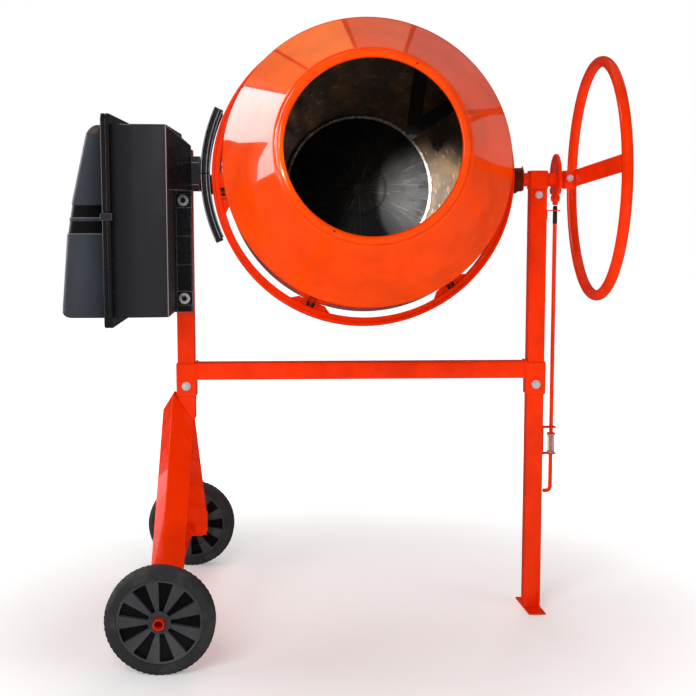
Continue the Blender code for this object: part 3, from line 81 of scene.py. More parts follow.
RING_TEETH = 108
TOOTH_PITCH = 0.0174     # at the ring's outer edge
LUGS = 6
FIRST_LUG = 7.5          # degrees round the drum
WHEEL_HUB = 0.023
WHEEL_RING = 0.058       # radius of the ring on the wheel's inner side
WHEEL_WEDGES = 9
DISC_STEP = (0.066, 0.058)  # radii of the foot and top of the base plate's pressed step
BEAM_ANGLE = 6.5         # degrees
FLOOR_HALF = 9.0
CAMERA_OFFSET = (-0.1482, -2.7868, -0.0557)  # from the tilt axis
CAMERA_PITCH, CAMERA_YAW = 83.465, -2.412    # degrees
CAMERA_LENS = 64.6       # mm, on a 36 mm sensor

DRUM_AXIS = Vector(JOINTS["drum_spin"]["axis"]).normalized()
ACROSS = Vector((1, 0, 0))
DRUM = Matrix((ACROSS, DRUM_AXIS.cross(ACROSS), DRUM_AXIS)).transposed().to_4x4()
DRUM.translation = PIVOT

ORANGE = (0.94, 0.060, 0.001)
RED_ORANGE = (0.90, 0.032, 0.0003)
YOKE_SHADE_RED = (0.09, 0.012, 0.004)
PLASTIC = (0.020, 0.0205, 0.0245)
RUBBER = (0.026, 0.026, 0.028)


# ---------------------------------------------------------------- outlines


def arc(centre, radius, first, last, steps):
    """Points of an arc between two angles in degrees."""
    turns = [math.radians(first + (last - first) * i / steps) for i in range(steps + 1)]
    return [(centre[0] + radius * math.cos(t), centre[1] + radius * math.sin(t)) for t in turns]


def fillet(points, radius, steps=4, closed=True):
    """The outline with each corner rounded; radius is one number or one per corner."""
    count = len(points)
    radii = radius if hasattr(radius, "__len__") else [radius] * count
    rounded = []
    for i, point in enumerate(points):
        here = Vector(point)
        if not closed and i in (0, count - 1) or radii[i] <= 0:
            rounded.append(tuple(here))
            continue
        back, ahead = Vector(points[i - 1]) - here, Vector(points[(i + 1) % count]) - here
        half = back.angle(ahead, math.pi) / 2
        if half > math.radians(89):
            rounded.append(tuple(here))
            continue
        reach = min(radii[i] / math.tan(half), back.length * 0.49, ahead.length * 0.49)
        first, last = here + back.normalized() * reach, here + ahead.normalized() * reach
        for k in range(steps + 1):
            share = k / steps
            rounded.append(tuple(first * (1 - share) ** 2 + here * 2 * share * (1 - share)
                                 + last * share**2))
    return rounded


def rectangle(low_u, high_u, low_v, high_v):
    return [(low_u, low_v), (high_u, low_v), (high_u, high_v), (low_u, high_v)]


def circle(radius, steps, centre=(0, 0), start=0.0):
    turns = [start + math.tau * i / steps for i in range(steps)]
    return [(centre[0] + radius * math.cos(t), centre[1] + radius * math.sin(t)) for t in turns]


# ---------------------------------------------------------------- mesh building


def loft(mesh, rows, ring=False, caps=True, slots=None):
    """Quads through rows of points; slots gives the material of each gap between neighbours in a row."""
    verts = [[mesh.verts.new(point) for point in row] for row in rows]
    count = len(verts[0])
    pairs = list(zip(verts, verts[1:])) + ([(verts[-1], verts[0])] if ring else [])
    for low, high in pairs:
        for i in range(count):
            j = (i + 1) % count
            face = mesh.faces.new((low[i], low[j], high[j], high[i]))
            face.material_index = slots[i] if slots else 0
    if caps and not ring:
        mesh.faces.new(verts[0][::-1])
        mesh.faces.new(verts[-1])


def sheet(mesh, rows):
    """Quads through rows of points that aren't joined end to end."""
    verts = [[mesh.verts.new(point) for point in row] for row in rows]
    for low, high in zip(verts, verts[1:]):
        for i in range(len(low) - 1):
            mesh.faces.new((low[i], low[i + 1], high[i + 1], high[i]))
    return verts


def polar(radius, turn, z):
    return radius * math.cos(turn), radius * math.sin(turn), z


def lathe(mesh, profile, segments, slots=None):
    """A closed (radius, height) profile turned round Z."""
    turns = [math.tau * i / segments for i in range(segments)]
    loft(mesh, [[polar(r, turn, z) for r, z in profile] for turn in turns], ring=True, slots=slots)


def extrude(mesh, outline, low, high, edge=0.0):
    """An upright prism of an outline, with its end edges eased by that much."""
    middle = Vector((sum(p[0] for p in outline), sum(p[1] for p in outline))) / len(outline)
    size = max((Vector(p) - middle).length for p in outline)
    shrink = 1 - edge / size
    small = [tuple(middle + (Vector(p) - middle) * shrink) for p in outline]
    levels = [(low, small), (low + edge, outline), (high - edge, outline), (high, small)] if edge else [
        (low, outline), (high, outline)]
    loft(mesh, [[(u, v, z) for u, v in shape] for z, shape in levels])


def sweep(mesh, path, radii, segments=16):
    """A round bar along a path, with a radius at each point."""
    path = [Vector(point) for point in path]
    side, rows = None, []
    for i, (point, radius) in enumerate(zip(path, radii)):
        tangent = (path[min(i + 1, len(path) - 1)] - path[max(i - 1, 0)]).normalized()
        side = side or tangent.orthogonal().normalized()
        side = (side - tangent * side.dot(tangent)).normalized()
        up = tangent.cross(side)
        rows.append([point + side * u + up * v for u, v in circle(radius, segments)])
    loft(mesh, rows)


def to_data(name, mesh):
    """Mesh data made from a bmesh, which is freed."""
    data = bpy.data.meshes.new(name)
    mesh.to_mesh(data)
    mesh.free()
    return data


def linked(name, data):
    """A new object of the scene that holds that data."""
    made = bpy.data.objects.new(name, data)
    bpy.context.scene.collection.objects.link(made)
    return made


def along(axis):
    """The turn that takes Z to that axis."""
    return Vector((0, 0, 1)).rotation_difference(Vector(axis)).to_matrix().to_4x4()


def placed(centre, axis=(0, 0, 1)):
    return Matrix.Translation(centre) @ along(axis)


def piece(name, body, looks, mesh, place=None, stands_for=(), sharp=32, bevel=0.0):
    """Finishes a mesh as a shown piece on a body. looks is one material or a list of them."""
    bmesh.ops.remove_doubles(mesh, verts=mesh.verts, dist=1e-6)
    bmesh.ops.recalc_face_normals(mesh, faces=mesh.faces)
    if place is DRUM:
        mesh.transform(DRUM)
        place = None
    data = to_data(name, mesh)
    data.shade_smooth()
    data.set_sharp_from_angle(angle=math.radians(sharp))
    for look in looks if isinstance(looks, list) else [looks]:
        data.materials.append(look)
    made = linked(name, data)
    made.matrix_world = place or Matrix.Identity(4)
    if bevel:
        ease(made, bevel, segments=3)
    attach(made, body)
    if stands_for:
        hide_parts(*stands_for)
    return made


def ease(thing, width, segments=2, angle=38, edge_slot=-1):
    """Rounds the edges of a piece and keeps its flat faces flat; edge_slot gives the rounded edges their own
    material, used for painted highlights.
    """
    step = thing.modifiers.new("weld", "WELD")
    step.merge_threshold = 0.00001
    step = thing.modifiers.new("eased_edges", "BEVEL")
    step.width = width
    step.segments = segments
    step.limit_method = "ANGLE"
    step.angle_limit = math.radians(angle)
    step.harden_normals = True
    step.miter_outer = "MITER_ARC"
    step.material = edge_slot


def reach(node, place):
    """(smallest radius, largest radius, lowest, highest) of a node round the Z of a place."""
    back = place.inverted()
    points = [back @ vertex.co for vertex in frame["nodes"][node].data.vertices]
    radii = [math.hypot(p.x, p.y) for p in points]
    heights = [p.z for p in points]
    return min(radii), max(radii), min(heights), max(heights)


# ---------------------------------------------------------------- materials


class Look:
    """A Principled material with colour, roughness and bump from noise in the piece's own frame."""

    def __init__(self, name, colour, roughness, metallic=0.0, coat=0.0, coat_roughness=0.05, turned=False):
        self.material = bpy.data.materials.new(name)
        self.material.use_nodes = True
        self.tree = self.material.node_tree
        self.shader = self.tree.nodes["Principled BSDF"]
        self.shader.inputs["Metallic"].default_value = metallic
        self.shader.inputs["Coat Weight"].default_value = coat
        self.shader.inputs["Coat Roughness"].default_value = coat_roughness
        self.place = self.add("ShaderNodeTexCoord").outputs["Object"]
        if turned:
            back = DRUM.inverted()
            mapping = self.add("ShaderNodeMapping")
            mapping.inputs["Location"].default_value = back.translation
            mapping.inputs["Rotation"].default_value = back.to_euler()
            self.link(self.place, mapping.inputs["Vector"])
            self.place = mapping.outputs[0]
        self.colour = self.value_of_colour(colour)
        self.roughness = roughness
        self.height = None

    def add(self, kind, **settings):
        node = self.tree.nodes.new(kind)
        for name, value in settings.items():
            setattr(node, name, value)
        return node

    def link(self, start, end):
        self.tree.links.new(start, end)

    def value_of_colour(self, colour):
        node = self.add("ShaderNodeRGB")
        node.outputs[0].default_value = (*colour, 1)
        return node.outputs[0]

    def grain(self, scale, detail=3.0, stretch=(1, 1, 1), distortion=0.0):
        """Noise from 0 to 1; scale is in features per metre."""
        mapping = self.add("ShaderNodeMapping")
        mapping.inputs["Scale"].default_value = stretch
        self.link(self.place, mapping.inputs["Vector"])
        node = self.add("ShaderNodeTexNoise")
        node.inputs["Scale"].default_value = scale
        node.inputs["Detail"].default_value = detail
        node.inputs["Distortion"].default_value = distortion
        self.link(mapping.outputs[0], node.inputs["Vector"])
        return node.outputs["Fac"]

    def speckle(self, scale):
        """Distance to the nearest of many scattered points, for pits."""
        node = self.add("ShaderNodeTexVoronoi", feature="F1")
        node.inputs["Scale"].default_value = scale
        self.link(self.place, node.inputs["Vector"])
        return node.outputs["Distance"]

    def between(self, source, low, high, to_low=0.0, to_high=1.0):
        node = self.add("ShaderNodeMapRange", interpolation_type="SMOOTHSTEP")
        for socket, value in zip(("From Min", "From Max", "To Min", "To Max"),
                                 (low, high, to_low, to_high)):
            node.inputs[socket].default_value = value
        self.link(source, node.inputs["Value"])
        return node.outputs["Result"]

    def maths(self, operation, first, second=0.0):
        node = self.add("ShaderNodeMath", operation=operation)
        for socket, value in zip(node.inputs, (first, second)):
            if isinstance(value, (int, float)):
                socket.default_value = value
            else:
                self.link(value, socket)
        return node.outputs[0]

    def tint(self, mask, colour):
        """Mixes a colour in where the mask is 1."""
        node = self.add("ShaderNodeMix", data_type="RGBA")
        self.link(mask, node.inputs["Factor"])
        self.link(self.colour, node.inputs["A"])
        node.inputs["B"].default_value = (*colour, 1)
        self.colour = node.outputs["Result"]

    def raise_by(self, source, depth):
        """Adds a bump whose full height is depth metres."""
        scaled = self.maths("MULTIPLY", source, depth)
        self.height = scaled if self.height is None else self.maths("ADD", self.height, scaled)

    def done(self):
        self.link(self.colour, self.shader.inputs["Base Color"])
        if isinstance(self.roughness, (int, float)):
            self.shader.inputs["Roughness"].default_value = self.roughness
        else:
            self.link(self.roughness, self.shader.inputs["Roughness"])
        if self.height is not None:
            bump = self.add("ShaderNodeBump")
            bump.inputs["Distance"].default_value = 1.0
            self.link(self.height, bump.inputs["Height"])
            self.link(bump.outputs[0], self.shader.inputs["Normal"])
        return self.material


def enamel(name, colour, gloss=0.16, coat=0.35):
    """Sprayed gloss paint: faint orange peel, uneven depth of colour, smears and a few fine specks."""
    look = Look(name, colour, 0.3, coat=coat, coat_roughness=0.02)
    look.shader.inputs["Specular IOR Level"].default_value = 0.1
    deep = tuple(c * 0.84 for c in colour)
    light = (min(1, colour[0] * 1.03), colour[1] * 1.18, colour[2] * 1.3)
    look.tint(look.between(look.grain(9, 4), 0.42, 0.66), deep)
    look.tint(look.between(look.grain(23, 3, distortion=0.6), 0.56, 0.78, 0, 0.6), light)
    specks = look.between(look.grain(330, 2), 0.73, 0.79, 0, 0.45)
    look.tint(specks, tuple(c * 0.35 for c in colour))
    look.roughness = look.between(look.grain(38, 5, (1, 1, 0.35)), 0.35, 0.75, gloss, gloss + 0.14)
    look.raise_by(look.grain(420, 2), 0.00002)
    look.raise_by(look.grain(70, 2), 0.00004)
    return look.done()


def moulded(name, colour, roughness=0.42):
    """Textured black moulding: a fine pebble grain and faint flow marks."""
    look = Look(name, colour, roughness)
    pale = tuple(min(1, c * 2.6 + 0.012) for c in colour)
    look.tint(look.between(look.grain(6, 4, (1, 1, 0.4)), 0.40, 0.72, 0, 0.35), pale)
    pits = look.speckle(900)
    look.roughness = look.between(look.grain(55, 4), 0.3, 0.7, roughness - 0.05, roughness + 0.10)
    look.raise_by(pits, 0.00012)
    look.raise_by(look.grain(260, 3), 0.00005)
    return look.done()


def rubber(name, colour):
    look = Look(name, colour, 0.75)
    look.tint(look.between(look.grain(30, 5), 0.48, 0.70, 0, 0.55), (0.055, 0.052, 0.048))
    look.roughness = look.between(look.grain(90, 4), 0.3, 0.7, 0.55, 0.82)
    look.raise_by(look.grain(700, 3), 0.00010)
    return look.done()


def plated(name, colour, roughness, brushed=(1, 1, 1), metallic=0.45):
    """Plated or bare metal with fine scratches and duller patches."""
    look = Look(name, colour, roughness, metallic=metallic)
    look.tint(look.between(look.grain(60, 4), 0.45, 0.72, 0, 0.6), tuple(c * 0.62 for c in colour))
    scratches = look.grain(900, 2, brushed)
    look.roughness = look.between(look.grain(240, 4), 0.3, 0.7, roughness - 0.08, roughness + 0.14)
    look.raise_by(scratches, 0.00004)
    return look.done()


def sooty_steel(name, colour, warm, roughness=0.42):
    """The drum's inside: black mill scale with brown rust bloom, scuffed in rings by the load."""
    look = Look(name, colour, roughness, metallic=0.3, turned=True)
    look.tint(look.between(look.grain(14, 5), 0.42, 0.68, 0, 0.75), warm)
    look.tint(look.between(look.grain(60, 6, (1, 1, 5)), 0.58, 0.74, 0, 0.55), tuple(c * 3.2 for c in warm))
    look.tint(look.between(look.grain(320, 4), 0.66, 0.78, 0, 0.4), (0.16, 0.12, 0.09))
    look.roughness = look.between(look.grain(48, 5), 0.3, 0.7, roughness - 0.08, roughness + 0.2)
    look.raise_by(look.grain(180, 5), 0.00018)
    return look.done()


def scored_disc(name, colour):
    """The base disc: black plate with scratches that run out from its middle."""
    look = Look(name, colour, 0.4, metallic=0.3, turned=True)
    split = look.add("ShaderNodeSeparateXYZ")
    look.link(look.place, split.inputs[0])
    turn = look.maths("ARCTAN2", split.outputs[1], split.outputs[0])
    radius = look.maths("SQRT", look.maths("ADD", look.maths("POWER", split.outputs[0], 2),
                                           look.maths("POWER", split.outputs[1], 2)))
    spokes = look.add("ShaderNodeTexNoise", noise_dimensions="2D")
    spokes.inputs["Scale"].default_value = 1.0
    spokes.inputs["Detail"].default_value = 4
    pair = look.add("ShaderNodeCombineXYZ")
    look.link(look.maths("MULTIPLY", turn, 22.0), pair.inputs[0])
    look.link(look.maths("MULTIPLY", radius, 14.0), pair.inputs[1])
    look.link(pair.outputs[0], spokes.inputs["Vector"])
    inner = look.between(radius, 0.028, 0.095, 1.0, 0.25)
    scores = look.maths("MULTIPLY", look.between(spokes.outputs["Fac"], 0.60, 0.68), inner)
    look.tint(look.between(look.grain(18, 5), 0.45, 0.72, 0, 0.7), (0.030, 0.024, 0.020))
    look.tint(look.maths("MULTIPLY", scores, 0.55), (0.20, 0.16, 0.13))
    look.roughness = look.between(look.grain(60, 5), 0.3, 0.7, 0.34, 0.6)
    look.raise_by(look.grain(140, 5), 0.00015)
    look.raise_by(scores, -0.0002)
    return look.done()


LOOKS = {
    "drum_paint": enamel("drum_enamel", ORANGE, 0.13, 1.0),
    "frame_paint": enamel("frame_enamel", RED_ORANGE, 0.20, 0.25),
    "black_plastic": moulded("black_moulding", PLASTIC),
    "rubber": rubber("tyre_rubber", RUBBER),
    "zinc_steel": plated("zinc_plate", (0.80, 0.82, 0.84), 0.30),
    "bare_steel": plated("bare_steel", (0.34, 0.33, 0.32), 0.36),
    "dark_steel": plated("blackened_steel", (0.035, 0.031, 0.029), 0.38),
    "start_green": moulded("green_button", (0.012, 0.25, 0.045), 0.35),
    "stop_red": moulded("red_button", (0.55, 0.010, 0.008), 0.35),
}
# The yoke gets a dark red enamel instead of the frame's red-orange: painted shade, for the drum's shadow falling
# on it.
YOKE_PAINTED_SHADE = enamel("yoke_painted_shade_enamel", YOKE_SHADE_RED, 0.24)
WALL_INSIDE = sooty_steel("drum_inside", (0.080, 0.062, 0.046), (0.22, 0.125, 0.062))
DISC_INSIDE = scored_disc("base_disc", (0.011, 0.0105, 0.0105))
WELD_STEEL = plated("weld_steel", (0.78, 0.66, 0.54), 0.26)
WHEEL_PLASTIC = moulded("wheel_moulding", (0.045, 0.046, 0.050), 0.48)
# The cover's black is lighter and bluer than the rest of the box: painted sheen, standing in for light reflected
# off the cover.
COVER_SHEEN_PLASTIC = moulded("cover_sheen_moulding", (0.032, 0.036, 0.046), 0.36)
# Pale bluish moulding for eased edges and rib tops: painted highlight, where light would glint on the edges.
EDGE_HIGHLIGHT_PLASTIC = moulded("edge_highlight_moulding", (0.20, 0.22, 0.25), 0.25)
# The blades' finish is darker than the blackened steel: partly their own black, partly painted shade inside the
# drum.
BLADE_SHADE_STEEL = plated("blade_shade_steel", (0.010, 0.009, 0.009), 0.45)
GLOSS_PLASTIC = moulded("guard_moulding", (0.008, 0.0085, 0.010), 0.20)
# Near-black moulding for the cover's grooves and the wheels' pockets: painted shade in the recesses.
RECESS_SHADE_PLASTIC = moulded("recess_shade_moulding", (0.003, 0.003, 0.0035), 0.45)


# ---------------------------------------------------------------- drum


def make_drum_upper():
    """Skirt, cone and rolled rim, painted outside and bare inside."""
    _, outer, low, top = reach("drum_upper", DRUM)
    wall, bead = WALL, 8 * MM
    mouth = min(math.hypot(p.x, p.y) for p in inner_points("drum_upper", top - bead * 1.2))
    centre = (mouth + bead - MM, top - bead)
    shoulder_z = max(p.z for p in inner_points("drum_upper", low + 0.02) if math.hypot(p.x,
                                                                                       p.y) > outer - 2 * MM)
    slope = math.degrees(math.atan2(centre[1] - shoulder_z, centre[0] - outer))
    rim = arc(centre, bead, slope - 142, slope + 190, 20)
    way = (Vector(centre) - Vector((outer, shoulder_z))).normalized()
    valley = Vector(rim[0]) - way * 0.6 * MM
    crest = Vector(centre) + Vector((way.y, -way.x)) * bead - way * 10 * MM
    outside = fillet([(outer, low), (outer, shoulder_z), crest], [0, 6 * MM, 0], 5, closed=False)
    start, end = Vector(outside[-2]), Vector(outside.pop())
    outside += [tuple(start.lerp(end, share)) for share in (0.03, 0.35, 0.65, 0.97, 1.0)]
    outside += [tuple(crest.lerp(valley, 0.45) + Vector((way.y, -way.x)) * 0.6 * MM), tuple(valley)]
    inside = [(outer - wall, shoulder_z - wall / 2), (outer - wall, low)]
    profile = outside + rim + inside
    slots = [0] * (len(outside) + len(rim) - 3) + [1] * 4 + [0]
    mesh = bmesh.new()
    lathe(mesh, profile, 160, slots[:len(profile)])
    piece("drum_upper_shell", "drum", [LOOKS["drum_paint"], WALL_INSIDE], mesh, DRUM,
          ["drum_upper"])
    return centre, bead


def inner_points(node, above):
    back = DRUM.inverted()
    return [p for p in (back @ v.co for v in frame["nodes"][node].data.vertices) if p.z > above]


def make_rim_marks(centre, bead):
    """Two small dark stubs on the rolled rim."""
    mesh = bmesh.new()
    for turn in (62, 245):
        spot = Vector((centre[0], 0, centre[1] + bead * 0.75))
        spot.rotate(Matrix.Rotation(math.radians(turn), 3, "Z"))
        stub = bmesh.new()
        lathe(stub, fillet([(0, 0), (2.2 * MM, 0), (2.2 * MM, 2.4 * MM), (0, 2.4 * MM)],
                           [0, 0, 0.8 * MM, 0]), 12)
        stub.transform(Matrix.Translation(spot))
        merge(mesh, stub)
    piece("rim_stubs", "drum", LOOKS["dark_steel"], mesh, DRUM)


def merge(mesh, other):
    """Adds another bmesh to this one."""
    data = to_data("part", other)
    mesh.from_mesh(data)
    bpy.data.meshes.remove(data)


def make_drum_lower():
    """The bowl under the skirt, painted outside and bare inside, with a pressed ring near its base."""
    points = sorted({(round(math.hypot(p.x, p.y), 5), round(p.z, 5)) for p in inner_points("drum_lower",
                                                                                           -1)})
    wall = WALL
    outer_at = {}
    for radius, z in points:
        outer_at[z] = max(outer_at.get(z, 0), radius)
    low = min(outer_at)
    steps = sorted(outer_at.items())
    outside = [(r, z) for z, r in steps if all(r >= other - 0.0005 or zz > z for zz, other in steps)]
    outside = [(min(r for r, z in points if z == low), low)] + outside
    outside = fillet(outside, [0] + [14 * MM] * (len(outside) - 2) + [0], 6, closed=False)
    inside = []
    for i, point in enumerate(outside):
        before, after = Vector(outside[max(i - 1, 0)]), Vector(outside[min(i + 1, len(outside) - 1)])
        way = (after - before).normalized()
        inside.append((point[0] - way.y * wall, point[1] + way.x * wall))
    profile = outside + inside[::-1]
    slots = [0] * len(outside) + [1] * (len(inside) - 1) + [0]
    mesh = bmesh.new()
    lathe(mesh, profile, 160, slots)
    piece("drum_lower_shell", "drum", [LOOKS["drum_paint"], WALL_INSIDE], mesh, DRUM,
          ["drum_lower"])


def make_base_disc():
    """The base plate with a pressed step, and the lumpy weld that holds it."""
    _, radius, low, high = reach("drum_base", DRUM)
    mesh = bmesh.new()
    profile = [(0.0066, low), (radius, low), (radius, high), (DISC_STEP[0], high),
               (DISC_STEP[1], high + 1.2 * MM), (0.0066, high + 1.2 * MM)]
    lathe(mesh, fillet(profile, [0, 0, MM, 4 * MM, 4 * MM, 0], 4), 128)
    piece("base_disc", "drum", DISC_INSIDE, mesh, DRUM, ["drum_base"])
    mesh = bmesh.new()
    rows = []
    for i in range(260):
        turn = math.tau * i / 260
        lump = noise.noise(Vector((math.cos(turn) * 22, math.sin(turn) * 22, 0.4)))
        size = (3.4 + 1.5 * lump) * MM
        centre = (radius + 1.0 * MM + 0.8 * MM * lump, high + 1.2 * MM)
        rows.append([polar(r, turn, z) for r, z in circle(size, 10, centre)])
    loft(mesh, rows, ring=True)
    piece("base_weld", "drum", WELD_STEEL, mesh, DRUM)


def make_ring_gear():
    """The crown ring: an angle-section casting with teeth behind it and six ears that hold the drum."""
    inner, outer, back, front = reach("ring_gear", DRUM)
    inner = min(math.hypot(p.x, p.y) for p in inner_points("ring_gear", front - 0.5 * MM))
    pitch_z = back + 9.8 * MM
    mesh = bmesh.new()
    band = [(inner, pitch_z), (outer, pitch_z), (outer, front - 1.5 * MM), (outer - 1.5 * MM, front),
            (outer - 6 * MM, front), (outer - 7 * MM, front - 2 * MM), (inner + 4 * MM, front - 2 * MM),
            (inner + 3 * MM, front), (inner + MM, front), (inner, front - MM)]
    lathe(mesh, band, 216)
    for i in range(RING_TEETH):
        turn = math.pi + math.tau * (i + 0.5) / RING_TEETH
        rows = []
        for radius in (inner + 0.6 * MM, outer - 0.3 * MM):
            step = TOOTH_PITCH * radius / outer * 1.02
            shape = [(-0.31 * step, pitch_z + 0.5 * MM), (-0.12 * step, back + 0.4 * MM),
                     (-0.07 * step, back),
                     (0.07 * step, back), (0.12 * step, back + 0.4 * MM), (0.31 * step, pitch_z + 0.5 * MM)]
            rows.append([(radius * math.cos(turn) - t * math.sin(turn),
                          radius * math.sin(turn) + t * math.cos(turn), z)
                         for t, z in shape])
        loft(mesh, rows)
    lugs = bmesh.new()
    _, skirt, _, _ = reach("drum_upper", DRUM)
    for i in range(LUGS):
        turn = math.radians(FIRST_LUG + 360 / LUGS * i)
        ear = bmesh.new()
        outline = fillet([(skirt + 0.3 * MM, -0.030), (inner + 1.5 * MM, -0.052), (inner + 1.5 * MM, 0.052),
                          (skirt + 0.3 * MM, 0.030)], [0, 0, 0, 0])
        extrude(ear, outline, front - 12 * MM, front - 3 * MM)
        for side in (-1, 1):
            tab = bmesh.new()
            extrude(tab, rectangle(skirt - 0.5 * MM, inner + 3 * MM, side * 11 * MM - 1.6 * MM,
                                   side * 11 * MM + 1.6 * MM),
                    front - 4 * MM, front + 7 * MM, 0.6 * MM)
            merge(ear, tab)
        ear.transform(Matrix.Rotation(turn, 4, "Z"))
        merge(lugs, ear)
    merge(mesh, lugs)
    piece("crown_ring", "drum", LOOKS["frame_paint"], mesh, DRUM, ["ring_gear"], sharp=40)
    bolts = bmesh.new()
    for i in range(LUGS):
        turn = math.radians(FIRST_LUG + 360 / LUGS * i)
        for side in (-1, 1):
            head = bmesh.new()
            extrude(head, circle(4.6 * MM, 6), front - 3 * MM, front + 2.5 * MM, 0.6 * MM)
            head.transform(Matrix.Rotation(turn, 4,
                                           "Z") @ Matrix.Translation((inner - 4 * MM, side * 5.5 * MM, 0)))
            merge(bolts, head)
    piece("ring_bolts", "drum", LOOKS["dark_steel"], bolts, DRUM)


# ---------------------------------------------------------------- stand


def make_tube(name, node, body, axis):
    """A square tube with rounded corners and open ends, as long as its node."""
    low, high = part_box(node)
    rest = [i for i in range(3) if i != axis]
    wall = 2.5 * MM
    outer = fillet(rectangle(low[rest[0]], high[rest[0]], low[rest[1]], high[rest[1]]), 4.0 * MM, 5)
    inner = fillet(rectangle(low[rest[0]] + wall, high[rest[0]] - wall, low[rest[1]] + wall,
                             high[rest[1]] - wall), 2 * MM, 5)
    rows = []
    for level, shape in ((low[axis], outer), (high[axis], outer), (high[axis], inner), (low[axis], inner)):
        row = []
        for u, v in shape:
            point = [0, 0, 0]
            point[axis], point[rest[0]], point[rest[1]] = level, u, v
            row.append(tuple(point))
        rows.append(row)
    mesh = bmesh.new()
    loft(mesh, rows, ring=True)
    piece(name, body, LOOKS["frame_paint"], mesh, stands_for=[node])


def make_clamp_sleeve(name, node, side):
    """The folded sleeve that carries the crossbar's end, with its weld bead."""
    low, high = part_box(node)
    tube_low, tube_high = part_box("left_upright" if side < 0 else "right_leg")
    wall = tube_low.y - low.y
    x_low, x_high = tube_low.x - wall, tube_high.x + wall
    outer = fillet(rectangle(x_low, x_high, low.y, high.y), 6 * MM, 5)
    inner = fillet(rectangle(tube_low.x, tube_high.x, tube_low.y, tube_high.y), 4 * MM, 5)
    edge = 0.8 * MM
    shrunk = fillet(rectangle(x_low + edge, x_high - edge, low.y + edge, high.y - edge), 5.4 * MM, 5)
    rows = [(low.z, shrunk), (low.z + edge, outer), (high.z - edge, outer), (high.z, shrunk),
            (high.z, inner), (low.z, inner)]
    mesh = bmesh.new()
    loft(mesh, [[(x, y, z) for x, y in shape] for z, shape in rows], ring=True)
    bar_low, bar_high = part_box("crossbar")
    face = x_high if side < 0 else x_low
    way = -side
    bead = bmesh.new()
    rows = []
    outline = fillet(rectangle(bar_low.y - MM, bar_high.y + MM, bar_low.z - MM, bar_high.z + MM), 4 * MM,
                     12)
    for y, z in outline:
        lump = (2.2 + 0.9 * noise.noise(Vector((y, z, side)) * 260)) * MM
        centre = Vector((y - (bar_low.y + bar_high.y) / 2, z - (bar_low.z + bar_high.z) / 2)).normalized()
        rows.append([(face + way * (u + 0.2 * MM), y + centre.x * v, z + centre.y * v) for u,
                     v in circle(lump, 8)])
    loft(bead, rows, ring=True)
    merge(mesh, bead)
    piece(name, "frame", LOOKS["frame_paint"], mesh, stands_for=[node])


def make_leg(name, node, way):
    """A leg folded from 3 mm plate: a slanting web, a splayed flange and a plate that takes the axle."""
    low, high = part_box(node)
    upright_low, upright_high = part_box("left_upright")
    axle = (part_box("wheel_axle")[0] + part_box("wheel_axle")[1]) / 2
    middle = (upright_low.y + upright_high.y) / 2
    near = upright_high.y - middle + GAP
    plate, web, flange = 3 * MM, 43.5 * MM, 22.5 * MM
    far = (high.y - middle if way > 0 else middle - low.y) - plate - MM
    fold = (upright_low.x + upright_high.x) / 2 - 29 * MM
    tip, knee, toe = (near, high.z, 60 * MM, 37 * MM), (far, axle.z + 52 * MM, 0, 0), (far,
                                                                                       axle.z - 20 * MM, 0,
                                                                                       0)
    rows = []
    for first, last, steps in ((tip, knee, 16), (knee, toe, 2)):
        for k in range(steps + 1):
            y, z, web_fall, flange_fall = (u + (v - u) * k / steps for u, v in zip(first, last))
            back = y - 15.2 * MM
            outline = [(fold - flange, back, flange_fall), (fold - 0.6 * MM, y - 0.4 * MM, 0),
                       (fold + 0.6 * MM, y, 0),
                       (fold + web, y, web_fall), (fold + web, y + plate, web_fall),
                       (fold + 1.6 * MM, y + plate, 0),
                       (fold - 1.6 * MM, y + plate - 0.9 * MM, 0),
                       (fold - flange - 2 * MM, back + 2.2 * MM, flange_fall)]
            rows.append([(x, middle + way * depth, z - fall) for x, depth, fall in outline])
    mesh = bmesh.new()
    loft(mesh, rows)
    outline = fillet(rectangle(low.x, low.x + 79 * MM, axle.z - 23 * MM, axle.z + 55 * MM), 14 * MM, 1)
    hole = circle(11.3 * MM, len(outline), (axle.x, axle.z), math.radians(225))
    ends = (far + 0.2 * MM, far + plate + 0.9 * MM)
    rows = [(ends[0], outline), (ends[1], outline), (ends[1], hole), (ends[0], hole)]
    loft(mesh, [[(x, middle + way * depth, z) for x, z in shape] for depth, shape in rows], ring=True)
    made = piece(name, "frame", LOOKS["frame_paint"], mesh, stands_for=[node])
    ease(made, 0.9 * MM, 3, 40)


def make_foot():
    """The skewed foot plate with turned-up ends and a gusset before and behind the leg."""
    low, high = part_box("leg_foot")
    leg_low, leg_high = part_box("right_leg")
    middle, half = (low.y + high.y) / 2, (high.y - low.y) / 2
    thick, skew = 4 * MM, 5 * MM
    left, right = leg_low.x, leg_high.x
    mesh = bmesh.new()
    rows = []
    for way, shift in ((-1, skew), (1, -skew)):
        rows.append([(x + shift, middle + way * half, FLOOR + z)
                     for x, z in ((left, 0), (right, 0), (right, thick), (left, thick))])
    loft(mesh, rows)
    for way in (-1, 1):
        start = (leg_high.y - leg_low.y) / 2 + 0.2 * MM
        outline = [(start, thick - 0.5 * MM), (start, 38 * MM), (start + 8 * MM, 38 * MM),
                   (half - 5 * MM, thick - 0.5 * MM)]
        ends = (right - skew - 3.5 * MM, right - skew - 0.5 * MM)
        loft(mesh, [[(x, middle + way * y, FLOOR + z) for y, z in outline] for x in ends])
    made = piece("foot_plate", "frame", LOOKS["frame_paint"], mesh, stands_for=["leg_foot"])
    ease(made, 0.7 * MM, 2)


# ---------------------------------------------------------------- wheels


def wheel_place(side):
    """The wheel's frame: Z out along the axle, away from the machine."""
    low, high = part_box(f"{side}_wheel_tyre")
    centre = (low + high) / 2
    return placed(centre, (0, -1 if side == "front" else 1, 0)), high.z - low.z, high.y - low.y


